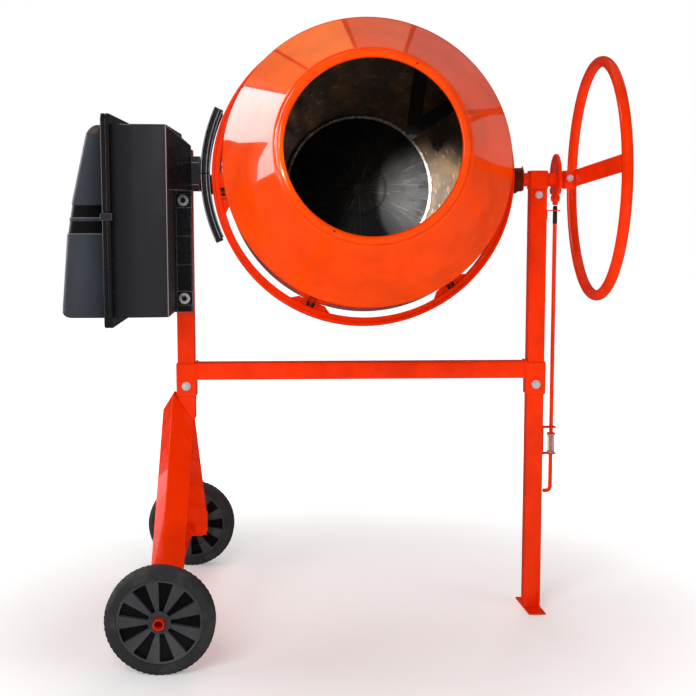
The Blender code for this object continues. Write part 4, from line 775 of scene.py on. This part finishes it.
def make_tyre(side):
    """A solid tyre: smooth walls, rounded shoulders and a knurled tread."""
    place, diameter, width = wheel_place(side)
    inner = reach(f"{side}_wheel_tyre", place)[0]
    radius, half = diameter / 2, width / 2
    wall = fillet([(inner, half), (inner + 3 * MM, half - 0.5 * MM), (radius - 9 * MM, half),
                   (radius - 1.5 * MM, half - 5.5 * MM)],
                  [0, 2 * MM, 7 * MM, 0], 4, closed=False)
    rows_across = 9
    reach_z = half - 6.5 * MM
    segments = 220
    rows = []
    for i in range(segments):
        turn = math.tau * i / segments
        profile = list(wall)
        for k in range(rows_across):
            z = reach_z - 2 * reach_z * k / (rows_across - 1)
            knurl = (i // 2 + k) % 2
            profile.append((radius - (0.1 if knurl else 1.1) * MM, z))
        profile += [(r, -z) for r, z in wall[::-1]]
        rows.append([polar(r, turn, z) for r, z in profile])
    mesh = bmesh.new()
    loft(mesh, rows, ring=True)
    piece(f"{side}_tyre", f"{side}_wheel", LOOKS["rubber"], mesh, place, [f"{side}_wheel_tyre"],
          sharp=28)


def make_rim(side):
    """A moulded wheel: nine raised wedges between nine pockets outside, a ring and thin ribs inside."""
    place, _, width = wheel_place(side)
    bore, edge, low, high = reach(f"{side}_wheel_rim", place)
    wedges = WHEEL_WEDGES
    face = width / 2 - 3.0 * MM
    rim_in, hub = edge - 5 * MM, WHEEL_HUB

    def outside(radius, share):
        if radius <= hub or radius >= rim_in:
            return face
        return face - 0.8 * MM if share < 0.5 else face - 8.5 * MM

    def inside(radius, share):
        ring = abs(radius - WHEEL_RING) < 1.0 * MM
        rib = radius > WHEEL_RING and 0.22 < share < 0.27
        if radius <= hub or radius >= rim_in or ring or rib:
            return -face + 1.5 * MM
        return -face + (4 * MM if share < 0.5 else 11 * MM)

    shares = [0.0, 0.02, 0.22, 0.225, 0.265, 0.27, 0.48, 0.50, 0.52, 0.75, 0.98]
    radii = [hub, hub + 1.2 * MM, 0.040, 0.0568, 0.0572, 0.0588, 0.0592, rim_in - 1.5 * MM, rim_in]
    mesh = bmesh.new()
    for level, top in ((outside, face), (inside, -face + 1.5 * MM)):
        rows = []
        for radius in radii:
            row = []
            for w in range(wedges):
                for share in shares:
                    near = 0.25 if 0.01 < share < 0.49 else 0.75
                    if level is inside and 0.222 < share < 0.268:
                        near = 0.245
                    turn = math.tau * (w + share) / wedges + math.radians(10)
                    z = top if radius in (radii[0], radii[-1]) else level(radius, near)
                    row.append(polar(radius, turn, z))
            rows.append(row)
        # The pockets' faces get the near-black moulding: painted shade.
        loft(mesh, rows, caps=False, slots=([0] * 7 + [1] * 4) * wedges)
    turns = [math.tau * (w + share) / wedges + math.radians(10) for w in range(wedges) for share in shares]
    band = [(rim_in, face), (rim_in + 1.2 * MM, face + 0.9 * MM), (edge, face + 0.9 * MM),
            (edge, -face - 0.9 * MM),
            (rim_in + 1.2 * MM, -face - 0.9 * MM), (rim_in, -face + 1.5 * MM)]
    nave = [(hub, face), (hub - 0.6 * MM, high), (hub - 4 * MM, high), (hub - 4.4 * MM, high - 1.5 * MM),
            (bore + 1.5 * MM, high - 1.5 * MM), (bore, high - 2.5 * MM), (bore, low), (hub - 2 * MM, low),
            (hub, low + 2 * MM),
            (hub, -face + 1.5 * MM)]
    for profile in (band, nave):
        rows = [[polar(r, turn, z) for turn in turns] for r, z in profile]
        loft(mesh, rows, caps=False)
    piece(f"{side}_rim", f"{side}_wheel", [WHEEL_PLASTIC, RECESS_SHADE_PLASTIC], mesh, place,
          [f"{side}_wheel_rim"], sharp=25)


# ---------------------------------------------------------------- handwheel and tilt lock


def make_handwheel():
    """The bent tube of the tipping wheel, with the weld beads where its spoke ends meet it."""
    low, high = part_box("handwheel_rim")
    tube = (high.x - low.x) / 2
    radius = (high.z - low.z) / 2 - tube
    centre = Vector(((low.x + high.x) / 2, PIVOT.y, PIVOT.z))
    mesh = bmesh.new()
    lathe(mesh, circle(tube, 20, (radius, 0)), 128)
    for sign in (-1, 1):
        local = Vector((DRUM_AXIS.y, DRUM_AXIS.z)).normalized() * sign
        side = Vector((-local.y, local.x))
        rows = []
        for i in range(28):
            turn = math.tau * i / 28
            lump = (2.4 + 0.8 * noise.noise(Vector((i * 0.7, sign, 2.0)))) * MM
            along_side, along_x = 0.019 * math.cos(turn), 0.004 * math.sin(turn)
            middle = local * (radius - tube * 0.93) + side * along_side
            rows.append([(middle.x + local.x * v + side.x * u * math.cos(turn),
                          middle.y + local.y * v + side.y * u * math.cos(turn),
                          along_x + u * math.sin(turn)) for u, v in circle(lump, 8)])
        bead = bmesh.new()
        loft(bead, rows, ring=True)
        merge(mesh, bead)
    turned = Matrix(((0, 0, 1), (1, 0, 0), (0, 1, 0))).to_4x4()
    piece("handwheel_tube", "yoke", LOOKS["frame_paint"], mesh,
          Matrix.Translation(centre) @ turned,
          ["handwheel_rim"])


def make_lock_rod():
    """The hooked rod, painted up to its blackened tip, with the collar that the spring lifts."""
    low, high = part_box("lock_rod")
    disc_low, disc_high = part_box("lock_disc")
    x, y = (disc_low.x + disc_high.x) / 2, PIVOT.y
    radius, thick = 4.5 * MM, 5 * MM
    foot = low.z + radius
    spring_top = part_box("lock_spring")[1].z
    levels = [(high.z, 3.6 * MM), (high.z - 0.8 * MM, 4.4 * MM), (high.z - 2.5 * MM, thick),
              (high.z - 40 * MM, thick),
              (high.z - 41 * MM, radius)]
    shank = [(spring_top + 3.0 * MM, radius), (spring_top + 2.9 * MM, 9.8 * MM),
             (spring_top + 0.5 * MM, 9.8 * MM),
             (spring_top + 0.4 * MM, radius)]
    bend = arc((x - 9 * MM, foot + 9 * MM), 9 * MM, 0, -90, 8)
    hooked = bend + [(low.x, foot)]
    for name, slot, points, hook in (
            ("lock_rod_tip", "dark_steel", levels[:4], []),
            ("lock_rod_shank", "frame_paint", levels[3:] + shank, hooked)):
        path = [(x, y, z) for z, _ in points] + [(u, y, v) for u, v in hook]
        sizes = [r for _, r in points] + [radius] * len(hook)
        mesh = bmesh.new()
        sweep(mesh, path, sizes, 18)
        piece(name, "lock_rod", LOOKS[slot], mesh, stands_for=["lock_rod"])


def make_spring():
    """A bare-steel compression spring with closed ends, round the rod."""
    low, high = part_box("lock_spring")
    wire = 1.15 * MM
    x, y = (low.x + high.x) / 2, PIVOT.y
    radius = (high.x - low.x) / 2 - wire
    turns, steps = 10, 10 * 20
    path = []
    for i in range(steps + 1):
        share = i / steps
        rise = min(max((share - 0.08) / 0.84, 0), 1)
        turn = math.tau * turns * share
        path.append((x + radius * math.cos(turn), y + radius * math.sin(turn),
                     low.z + wire + 2.2 * wire * (share - rise) + (high.z - low.z - 2 * wire) * rise))
    mesh = bmesh.new()
    sweep(mesh, path, [wire] * len(path), 8)
    piece("rod_spring", "frame", WELD_STEEL, mesh, stands_for=["lock_spring"])


# ---------------------------------------------------------------- motor box


def node_points(node, test):
    return [v.co for v in frame["nodes"][node].data.vertices if test(v.co)]


def shell(name, node, rows, cap, flange):
    """A moulded half of the box: an open skin given a wall, and the flange round its mouth."""
    mesh = bmesh.new()
    verts = [[mesh.verts.new(point) for point in row] for row in rows]
    count = len(verts[0])
    for low, high in zip(verts, verts[1:]):
        for i in range(count):
            mesh.faces.new((low[i], low[(i + 1) % count], high[(i + 1) % count], high[i]))
    mesh.faces.new(verts[cap])
    # A strip along the rim of the box's right end gets the pale moulding: painted highlight.
    edge_x = max(v.co.x for v in mesh.verts) - 2.7 * MM
    for face in mesh.faces:
        face.material_index = edge_x < face.calc_center_median().x < edge_x + 1.9 * MM
    made = piece(name, "frame", [LOOKS["black_plastic"], EDGE_HIGHLIGHT_PLASTIC], mesh,
                 stands_for=[node])
    step = made.modifiers.new("wall", "SOLIDIFY")
    step.thickness = WALL
    step.offset = -1
    mesh = bmesh.new()
    loft(mesh, flange, ring=True)
    piece(f"{name}_flange", "frame", GLOSS_PLASTIC, mesh)
    return made


def box_frame():
    """The box's body: (low Y, high Y, low Z, high Z) and its right face."""
    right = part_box("left_upright")[0].x - GAP
    body = node_points("housing_inner", lambda p: abs(p.x - right) < 0.2 * MM and p.y > PIVOT.y + 0.05)
    mirror = max(p.y for p in body)
    low_z, high_z = min(p.z for p in body), max(p.z for p in body)
    return 2 * PIVOT.y - mirror, mirror, low_z, high_z, right


def flange_rows(x_low, x_high, low, high, mouth):
    """The rim round the mouth, as a rounded section carried round the box's outline."""
    corner = 14 * MM
    rows = []
    outside = fillet(rectangle(low.y, high.y, low.z, high.z), corner, 6)
    inside = fillet(rectangle(mouth[0], mouth[1], mouth[2], mouth[3]), corner, 6)
    edge = 1.6 * MM
    for (y1, z1), (y0, z0) in zip(outside, inside):
        out = Vector((y1 - y0, z1 - z0)).normalized() * edge
        rows.append([(x_low, y0, z0), (x_low, y1 - out.x, z1 - out.y), (x_low + edge, y1, z1),
                     (x_high - edge, y1, z1),
                     (x_high, y1 - out.x, z1 - out.y), (x_high, y0, z0)])
    return rows


def make_housing_inner():
    """The half that is bolted to the upright, with its slanted nose and its ribbed wing."""
    y0, y1, z0, z1, right = box_frame()
    low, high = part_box("housing_inner")
    lip = low.x + FLANGE_DEPTH
    rows = []
    for x, inset in ((lip, 0.0), (right - 12 * MM, 0.8 * MM), (right - 2.6 * MM, 1.0 * MM),
                     (right - 0.8 * MM, 1.8 * MM),
                     (right, 3.6 * MM)):
        outline = fillet(rectangle(y0 + inset, y1 - inset, z0 + inset, z1 - inset), 7 * MM, 5)
        rows.append([(x, y, z) for y, z in outline])
    flange = flange_rows(low.x, lip, low, high, (y0 + BOX_INSET, y1 - BOX_INSET, z0 + BOX_INSET,
                                                 z1 - BOX_INSET))
    shell("housing_inner_shell", "housing_inner", rows, -1, flange)
    make_nose(y0, z1, right, high.x)
    make_wing(y0, z0, right, high.x)


def make_nose(y0, z1, right, wing_x):
    """The slanted corner between the box's front and the upright, with its sloped top."""
    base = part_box("housing_bolt_upper")[1].z + WING_RISE
    inside = node_points("housing_inner", lambda p: p.x > right + 2 * MM and p.z > base + 20 * MM)
    front, back = y0 + 5 * MM, max(p.y for p in inside)
    slant = min(p.y for p in inside if p.x > wing_x - MM)
    mesh = bmesh.new()
    loft(mesh, [[(x, y, z) for y, z in rectangle(near, back, base, top)]
                for x, near, top in ((right - 2 * MM, front, z1 - 3 * MM), (wing_x, slant, z1 - 38 * MM))])
    made = piece("housing_nose", "frame", [GLOSS_PLASTIC, EDGE_HIGHLIGHT_PLASTIC], mesh)
    # The eased edges get the pale moulding as painted highlight.
    ease(made, 0.9 * MM, 2, edge_slot=1)


def make_wing(y0, z0, right, wing_x):
    """The wing that the two bolts hold to the upright: a plate with raised borders and cross ribs."""
    tube_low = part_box("left_upright")[0]
    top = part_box("housing_bolt_upper")[1].z + WING_RISE
    low = z0 - MM
    back = tube_low.y - GAP
    front = back - 12 * MM
    mesh = bmesh.new()
    extrude_y(mesh, rectangle(right - 3 * MM, wing_x, low, top), back, front + 3 * MM, MM)
    bolts = [sum(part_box(n), Vector()) / 2 for n in ("housing_bolt_upper", "housing_bolt_lower")]
    pad = BOLT_PAD
    for spot in bolts:
        extrude_y(mesh, fillet(rectangle(right + 2 * MM, wing_x - 0.6 * MM, spot.z - pad, spot.z + pad),
                               3 * MM, 3),
                  front + 4 * MM, front, 0.8 * MM)
    upper, lower = bolts[0].z - pad, bolts[1].z + pad
    for share in (0.0, 0.34, 0.68, 1.0):
        z = upper + (lower - upper) * share
        extrude_y(mesh, rectangle(right + 2 * MM, wing_x - 0.6 * MM, z - 1.2 * MM, z + 1.2 * MM),
                  front + 4 * MM, front + 0.6 * MM, 0.5 * MM)
    for x in (right + 3 * MM, wing_x - 2.4 * MM):
        extrude_y(mesh, rectangle(x - 1.3 * MM, x + 1.3 * MM, low + MM, top - MM), front + 4 * MM,
                  front + 0.4 * MM, 0.5 * MM)
    made = piece("housing_wing", "frame", [GLOSS_PLASTIC, EDGE_HIGHLIGHT_PLASTIC], mesh)
    # The eased edges get the pale moulding as painted highlight.
    ease(made, 0.35 * MM, 1, edge_slot=1)


def extrude_y(mesh, outline, start, end, edge):
    """A prism along Y of an (x, z) outline, with eased far edges."""
    part = bmesh.new()
    extrude(part, outline, 0, abs(end - start), edge)
    turn = Matrix(((1, 0, 0, 0), (0, 0, math.copysign(1, end - start), start), (0, 1, 0, 0), (0, 0, 0, 1)))
    part.transform(turn)
    bmesh.ops.recalc_face_normals(part, faces=part.faces)
    merge(mesh, part)


def make_housing_outer():
    """The cover: a sloped face, two grooves across it and a chamfered top edge."""
    y0, y1, z0, z1, _ = box_frame()
    low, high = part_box("housing_outer")
    lip = high.x - FLANGE_DEPTH
    edge_y = min(p.y for p in node_points("housing_outer", lambda p: p.x < lip - 0.02))
    outline = sorted({(round(p.z, 4), round(p.x, 4))
                      for p in node_points("housing_outer",
                                           lambda p: p.x < lip - 0.02 and abs(p.y - edge_y) < MM)})

    def outer_x(z):
        if z <= outline[0][0]:
            return outline[0][1]
        for (za, xa), (zb, xb) in zip(outline, outline[1:]):
            if z <= zb and zb > za:
                return xa + (xb - xa) * (z - za) / (zb - za)
        return outline[-1][1]

    groove_high, groove_low = (z0 + rise for rise in GROOVE_RISES)
    deep, bank = GROOVE_DEEP, GROOVE_BANK
    levels = [(z0, 7.5 * MM, 0), (z0 + 2 * MM, 3.0 * MM, 0), (z0 + 6 * MM, 0.8 * MM, 0),
              (z0 + 11 * MM, 0, 0), (z0 + 16 * MM, 0, 0)]
    for z in (groove_low, groove_high - GROOVE_HEIGHT):
        levels += [(z - bank / 2, 0, 0), (z + bank / 2, deep, 0),
                   (z + GROOVE_HEIGHT - bank - bank / 2, deep, 0),
                   (z + GROOVE_HEIGHT - bank / 2, 0.6 * MM, 0)]
    levels += [(groove_high + 3 * MM, 0, 0), ((groove_high + z1) / 2, 0, 0), (z1 - 24 * MM, 0, 0),
               (z1 - 20 * MM, 0, 1.5 * MM),
               (z1 - 12 * MM, 1 * MM, 15 * MM), (z1 - 4 * MM, 3 * MM, 34 * MM), (z1, 8 * MM, 44 * MM)]
    rows = []
    for z, inset, shoulder in sorted(levels):
        x = outer_x(z) + inset
        fold_y = inset + shoulder
        corners = [(lip, y0 + fold_y), (lip, y1 - fold_y), (x, y1 - fold_y), (x, y0 + fold_y)]
        rows.append([(u, v, z) for u, v in fillet(corners, [0, 0, 12 * MM, 12 * MM], 6)])
    mesh = bmesh.new()
    loft(mesh, rows)
    # Faces in each groove get painted shade, and the faces at each groove's lower bank get painted highlight.
    for face in mesh.faces:
        middle = face.calc_center_median().z
        for z in (groove_low, groove_high - GROOVE_HEIGHT):
            if abs(middle - z) < MM:
                face.material_index = 2
            elif z < middle < z + 26 * MM:
                face.material_index = 1
    gone = [f for f in mesh.faces if all(abs(v.co.x - lip) < 0.1 * MM for v in f.verts)]
    bmesh.ops.delete(mesh, geom=gone, context="FACES_ONLY")
    made = piece("housing_outer_shell", "frame",
                 [COVER_SHEEN_PLASTIC, RECESS_SHADE_PLASTIC, EDGE_HIGHLIGHT_PLASTIC], mesh,
                 stands_for=["housing_outer"], sharp=24)
    step = made.modifiers.new("wall", "SOLIDIFY")
    step.thickness = WALL
    step.offset = -1
    mesh = bmesh.new()
    loft(mesh, flange_rows(lip, high.x, low, high, (y0 + BOX_INSET, y1 - BOX_INSET, z0 + BOX_INSET,
                                                    z1 - BOX_INSET)), ring=True)
    piece("cover_flange", "frame", GLOSS_PLASTIC, mesh)


def make_guard(name, node, way):
    """A glossy arched cover with two ribs along it, painted highlight lines along its edges and a rib, and a
    square end.
    """
    inner, outer, back, front = reach(node, DRUM)
    sweep_deg, steps = 24.0, 28
    lip = front - 3 * MM
    section = [(outer, back), (outer, lip), (outer - 1.2 * MM, front), (outer - 2.4 * MM, front),
               (outer - 4.4 * MM, lip), (inner + 7.2 * MM, lip), (inner + 6.4 * MM, front - 1.4 * MM),
               (inner + 5.0 * MM, front - 1.4 * MM), (inner + 4.2 * MM, lip), (inner + 1.2 * MM, lip),
               (inner, front - 1.8 * MM), (inner - 1.4 * MM, front - 2.4 * MM),
               (inner - 2.0 * MM, lip - 2 * MM),
               (inner - 2.0 * MM, lip - 7 * MM), (inner + MM, lip - 8 * MM), (inner + 2 * MM, back)]
    rows = []
    for i in range(steps + 1):
        turn = math.pi - way * math.radians(0.15 + sweep_deg * i / steps)
        rows.append([polar(r, turn, z) for r, z in section])
    mesh = bmesh.new()
    loft(mesh, rows, slots=[0, 0, 1, 0, 0, 0, 1, 0, 0, 0, 1, 0, 0, 0, 0, 0])
    piece(name, "yoke", [GLOSS_PLASTIC, EDGE_HIGHLIGHT_PLASTIC], mesh, DRUM, [node], sharp=25)


# ---------------------------------------------------------------- fasteners


def make_bolt(name, node, body, axis, socket=False, across=13 * MM, look="zinc_steel"):
    """A bolt with washer, chamfered head, nut and thread end along its node; axis points to its head."""
    low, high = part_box(node)
    centre = (low + high) / 2
    axis = Vector(axis).normalized()
    place = placed(centre, axis)
    _, washer, back, front = reach(node, place)
    tall = 8.5 * MM
    seat = front - tall
    thick = 2 * MM
    mesh = bmesh.new()
    disc = fillet([(0, seat), (washer, seat), (washer, seat + thick), (0, seat + thick)],
                  [0, 0.4 * MM, 0.6 * MM, 0], 3)
    lathe(mesh, disc, 36)
    if socket:
        rim = [(0, seat + thick), (5.4 * MM, seat + thick), (5.4 * MM, front - MM), (4.6 * MM, front),
               (3.2 * MM, front), (3.0 * MM, front - 4 * MM), (0, front - 4 * MM)]
        lathe(mesh, rim, 36, [1] * 7)
        dish = [(7.0 * MM, seat + thick), (9.6 * MM, seat + thick), (9.2 * MM, seat + thick + 0.7 * MM),
                (7.4 * MM, seat + thick + 0.7 * MM)]
        lathe(mesh, dish, 36)
    else:
        hexagonal(mesh, across, seat + thick, front)
        lathe(mesh, [(0, front - 0.2 * MM), (3.0 * MM, front - 0.2 * MM), (2.6 * MM, front + 0.12 * MM),
                     (0, front + 0.12 * MM)], 18)
    thread = 4.2 * MM
    turns = int((seat - back) / (1.25 * MM))
    profile = [(0, seat + 0.5 * MM), (thread, seat + 0.5 * MM)]
    for i in range(1, turns):
        z = seat - i * 1.25 * MM
        profile += [(thread + 0.35 * MM, z + 0.55 * MM), (thread - 0.25 * MM, z)]
    profile += [(thread - 0.8 * MM, back), (0, back)]
    lathe(mesh, profile, 20)
    nut = back + 4 * MM
    hexagonal(mesh, across, nut, nut + 8 * MM)
    piece(name, body, [LOOKS[look], LOOKS["dark_steel"]], mesh, place, [node])


def hexagonal(mesh, across, low, high):
    """A hexagon bar with its corners turned off at the top."""
    def ring(width, z):
        points = []
        for i in range(36):
            turn = math.tau * i / 36
            off = (turn + math.pi / 6) % (math.pi / 3) - math.pi / 6
            radius = min(across / 2 / math.cos(off), width)
            points.append(polar(radius, turn, z))
        return points
    full, round_ = across / math.sqrt(3) + MM, across / 2 * 0.95
    loft(mesh, [ring(full, low), ring(full, high - 1.4 * MM), ring(across / 2 * 1.06, high - 0.6 * MM),
                ring(round_, high)])


# ---------------------------------------------------------------- kept nodes


EASED = {
    "left_bearing_housing": 2.0, "right_bearing_cap": 2.5, "rod_guide": 0.5, "rod_bracket": 0.5,
    "lock_disc": 1.2,
    "handwheel_spoke": 0.9, "left_bearing_cover": 1.5, "housing_clip": 0.7, "switch_body": 1.5,
    "power_inlet": 1.0, "start_button": 0.5, "stop_button": 0.5, "wheel_axle": 0.4, "tilt_tube": 0.4,
    "mixing_blade_a": 0.6, "mixing_blade_b": 0.6, "drum_hub": 0.8, "drum_spindle": 0.6,
}


def dress_nodes():
    """Gives every node that is shown as packed its finish, and rounds the edges of the larger ones. The yoke and
    the blades get darker copies as painted shade, and eased black plastic edges get painted highlight.
    """
    slots = {part["node"]: part["material_slot"] for part in frame["record"]["subparts"]}
    for node, thing in frame["nodes"].items():
        if thing.hide_render:
            continue
        thing.data.materials.clear()
        look = {"yoke": YOKE_PAINTED_SHADE, "mixing_blade_a": BLADE_SHADE_STEEL, "mixing_blade_b": BLADE_SHADE_STEEL}.get(
            node, LOOKS[slots[node]])
        thing.data.materials.append(look)
        # Eased black plastic nodes get the pale moulding on their rounded edges as painted highlight.
        highlit_edges = slots[node] == "black_plastic" and EASED.get(node, 0) >= 0.7
        if highlit_edges:
            thing.data.materials.append(EDGE_HIGHLIGHT_PLASTIC)
        if node in EASED:
            ease(thing, EASED[node] * MM * (0.5 if highlit_edges else 1), edge_slot=1 if highlit_edges else -1)


# ---------------------------------------------------------------- studio


def make_floor():
    """A pale floor that fades into the white round it."""
    mesh = bmesh.new()
    size = FLOOR_HALF
    for x, y in ((-size, -size), (size, -size), (size, size), (-size, size)):
        mesh.verts.new((x, y, FLOOR - 0.0002))
    mesh.faces.new(mesh.verts)
    data = to_data("floor", mesh)
    look = Look("pale_floor", (0.90, 0.90, 0.90), 0.85)
    look.tint(look.between(look.grain(1.2, 3), 0.4, 0.7, 0, 0.5), (0.88, 0.88, 0.88))
    radius = look.add("ShaderNodeVectorMath", operation="LENGTH")
    look.link(look.place, radius.inputs[0])
    look.shader.inputs["Emission Color"].default_value = (1, 1, 1, 1)
    look.link(look.between(radius.outputs["Value"], 0.4, 1.8, 0.22, 1.0),
              look.shader.inputs["Emission Strength"])
    data.materials.append(look.done())
    floor = linked("floor", data)
    floor.visible_glossy = False


def make_world():
    """White behind the object and a dim room round it."""
    world = bpy.data.worlds.new("studio")
    bpy.context.scene.world = world
    world.use_nodes = True
    tree = world.node_tree
    background = tree.nodes["Background"]
    seen = tree.nodes.new("ShaderNodeLightPath")
    level = tree.nodes.new("ShaderNodeMapRange")
    level.inputs["To Min"].default_value = 0.05
    level.inputs["To Max"].default_value = 1.0
    tree.links.new(seen.outputs["Is Camera Ray"], level.inputs["Value"])
    tree.links.new(level.outputs["Result"], background.inputs["Strength"])
    background.inputs["Color"].default_value = (1, 1, 1, 1)


def softbox(name, direction, distance, size, strength):
    """A white area light at a distance from the drum along a direction; strength is its brightness."""
    light = bpy.data.lights.new(name, "AREA")
    light.shape = "RECTANGLE"
    light.size, light.size_y = size
    light.energy = strength * size[0] * size[1] * math.pi
    spot = PIVOT + Vector(direction).normalized() * distance
    turn = (PIVOT - spot).to_track_quat("-Z", "Y").to_matrix().to_4x4()
    made = linked(name, light)
    made.matrix_world = Matrix.Translation(spot) @ turn
    made.visible_camera = False
    return made


def beam(name, direction, distance, spot, radius, strength):
    """A narrow spot light aimed at a place in the drum's own frame; radius softens its shadows."""
    target = DRUM @ Vector(spot)
    light = bpy.data.lights.new(name, "SPOT")
    light.energy = strength
    light.shadow_soft_size = radius
    light.spot_size = math.radians(BEAM_ANGLE)
    light.spot_blend = 0.6
    made = linked(name, light)
    made.location = target + Vector(direction).normalized() * distance
    made.rotation_euler = (target - made.location).to_track_quat("-Z", "Y").to_euler()


def mirrored(turn, share):
    """A place on the drum's cone, and the direction that the camera at the front sees in it."""
    _, outer, low, top = reach("drum_upper", DRUM)
    shoulder = Vector((outer, max(p.z for p in inner_points("drum_upper", low + 0.02)
                                  if math.hypot(p.x, p.y) > outer - 2 * MM)))
    mouth = Vector((min(math.hypot(p.x, p.y) for p in inner_points("drum_upper", top - 10 * MM)), top))
    spot, way = shoulder.lerp(mouth, share), (mouth - shoulder).normalized()
    round_ = Vector((math.cos(math.radians(turn)), math.sin(math.radians(turn)), 0))
    point = DRUM @ (round_ * spot.x + Vector((0, 0, spot.y)))
    normal = DRUM.to_3x3() @ (round_ * way.y - Vector((0, 0, way.x)))
    sight = (point - bpy.context.scene.camera.location).normalized()
    return point, sight - normal * 2 * sight.dot(normal)


def card(name, first, last, distance, strength, colour=(1, 1, 1), low=-2.0, high=3.0):
    """A glowing card where the cone mirrors it to the front camera; only reflections see it."""
    mesh = bmesh.new()
    rows = []
    for i in range(13):
        turn = first + (last - first) * i / 12
        places = [mirrored(turn, low + (high - low) * k / 8) for k in range(9)]
        rows.append([point + way * distance for point, way in places])
    sheet(mesh, rows)
    data = to_data(name, mesh)
    look = Look(name, (0, 0, 0), 1.0)
    glow = look.add("ShaderNodeEmission")
    glow.inputs["Color"].default_value = (*colour, 1)
    look.link(look.between(look.grain(1.5, 2), 0.2, 0.8, strength * 0.85, strength * 1.1),
              glow.inputs["Strength"])
    look.link(glow.outputs[0], look.tree.nodes["Material Output"].inputs["Surface"])
    data.materials.append(look.material)
    made = linked(name, data)
    made.visible_camera = made.visible_diffuse = made.visible_shadow = False


def make_lights():
    """Five area lights, of which only fill_left is reflected, two beams into the drum and six cards."""
    for name, direction, distance, size, strength in (
            ("key_front", (-0.35, -1.0, 0.45), 3.2, (1.8, 1.8), 6.2),
            ("key_top", (0.1, 0.2, 1.0), 2.6, (2.0, 2.0), 2.2),
            ("fill_right", (1.0, -0.7, 0.1), 3.2, (1.6, 1.6), 2.2),
            ("fill_left", (-1.0, -0.2, 0.1), 3.2, (1.6, 1.6), 2.2),
            ("back", (0.2, 1.0, 0.3), 3.2, (2.0, 2.0), 2.4)):
        softbox(name, direction, distance, size, strength).visible_glossy = name == "fill_left"
    beam("into_drum", (-0.44, -1.0, 0.16), 1.9, (0.135, -0.03, -0.05), 0.05, 1000.0)
    beam("into_drum_low", (-0.25, -1.0, 0.35), 2.0, (0.02, 0.06, -0.10), 0.25, 90.0)
    card("card_left", 147, 193, 2.2, 5.2, (1, 0.90, 0.90))
    card("card_top_left", 99, 127, 2.2, 1.2, (1, 0.55, 0.20))
    card("card_high_left", 128.5, 145.5, 2.2, 1.0, (1, 0.55, 0.20))
    card("card_top", 72, 97, 2.2, 0.50, (1, 0.70, 0.50))
    card("card_top_right", 24, 70, 2.2, 0.34, (1, 0.85, 0.80))
    card("card_right", -2, 21, 2.2, 0.40, (1, 0.85, 0.80))


def make_camera():
    lens = bpy.data.cameras.new("camera")
    lens.lens = CAMERA_LENS
    lens.sensor_width = 36
    lens.clip_end = 60
    camera = linked("camera", lens)
    camera.location = PIVOT + Vector(CAMERA_OFFSET)
    camera.rotation_euler = (math.radians(CAMERA_PITCH), 0, math.radians(CAMERA_YAW))
    bpy.context.scene.camera = camera
    bpy.context.scene.view_settings.view_transform = "Standard"


def build():
    centre, bead = make_drum_upper()
    make_rim_marks(centre, bead)
    make_drum_lower()
    make_base_disc()
    make_ring_gear()
    make_tube("left_tube", "left_upright", "frame", 2)
    make_tube("right_tube", "right_leg", "frame", 2)
    make_tube("cross_tube", "crossbar", "frame", 0)
    make_clamp_sleeve("left_sleeve", "left_clamp", -1)
    make_clamp_sleeve("right_sleeve", "right_clamp", 1)
    make_leg("front_leg", "front_wheel_leg", -1)
    make_leg("rear_leg", "rear_wheel_leg", 1)
    make_foot()
    for side in ("front", "rear"):
        make_tyre(side)
        make_rim(side)
    make_handwheel()
    make_lock_rod()
    make_spring()
    make_housing_inner()
    make_housing_outer()
    make_guard("guard_upper", "pinion_guard_upper", 1)
    make_guard("guard_lower", "pinion_guard_lower", -1)
    front = (0, -1, 0)
    make_bolt("left_clamp_screw", "left_clamp_bolt", "frame", front)
    make_bolt("right_clamp_screw", "right_clamp_bolt", "frame", front)
    make_bolt("cap_screw", "bearing_cap_bolt", "frame", front)
    make_bolt("housing_screw_upper", "housing_bolt_upper", "frame", front, socket=True)
    make_bolt("housing_screw_lower", "housing_bolt_lower", "frame", front, socket=True)
    make_bolt("handwheel_screw", "handwheel_bolt", "yoke", DRUM_AXIS, across=12 * MM)
    make_bolt("base_screw", "base_bolt", "drum", DRUM_AXIS, across=19 * MM, look="dark_steel")
    dress_nodes()


make_camera()
build()
make_floor()
make_world()
make_lights()
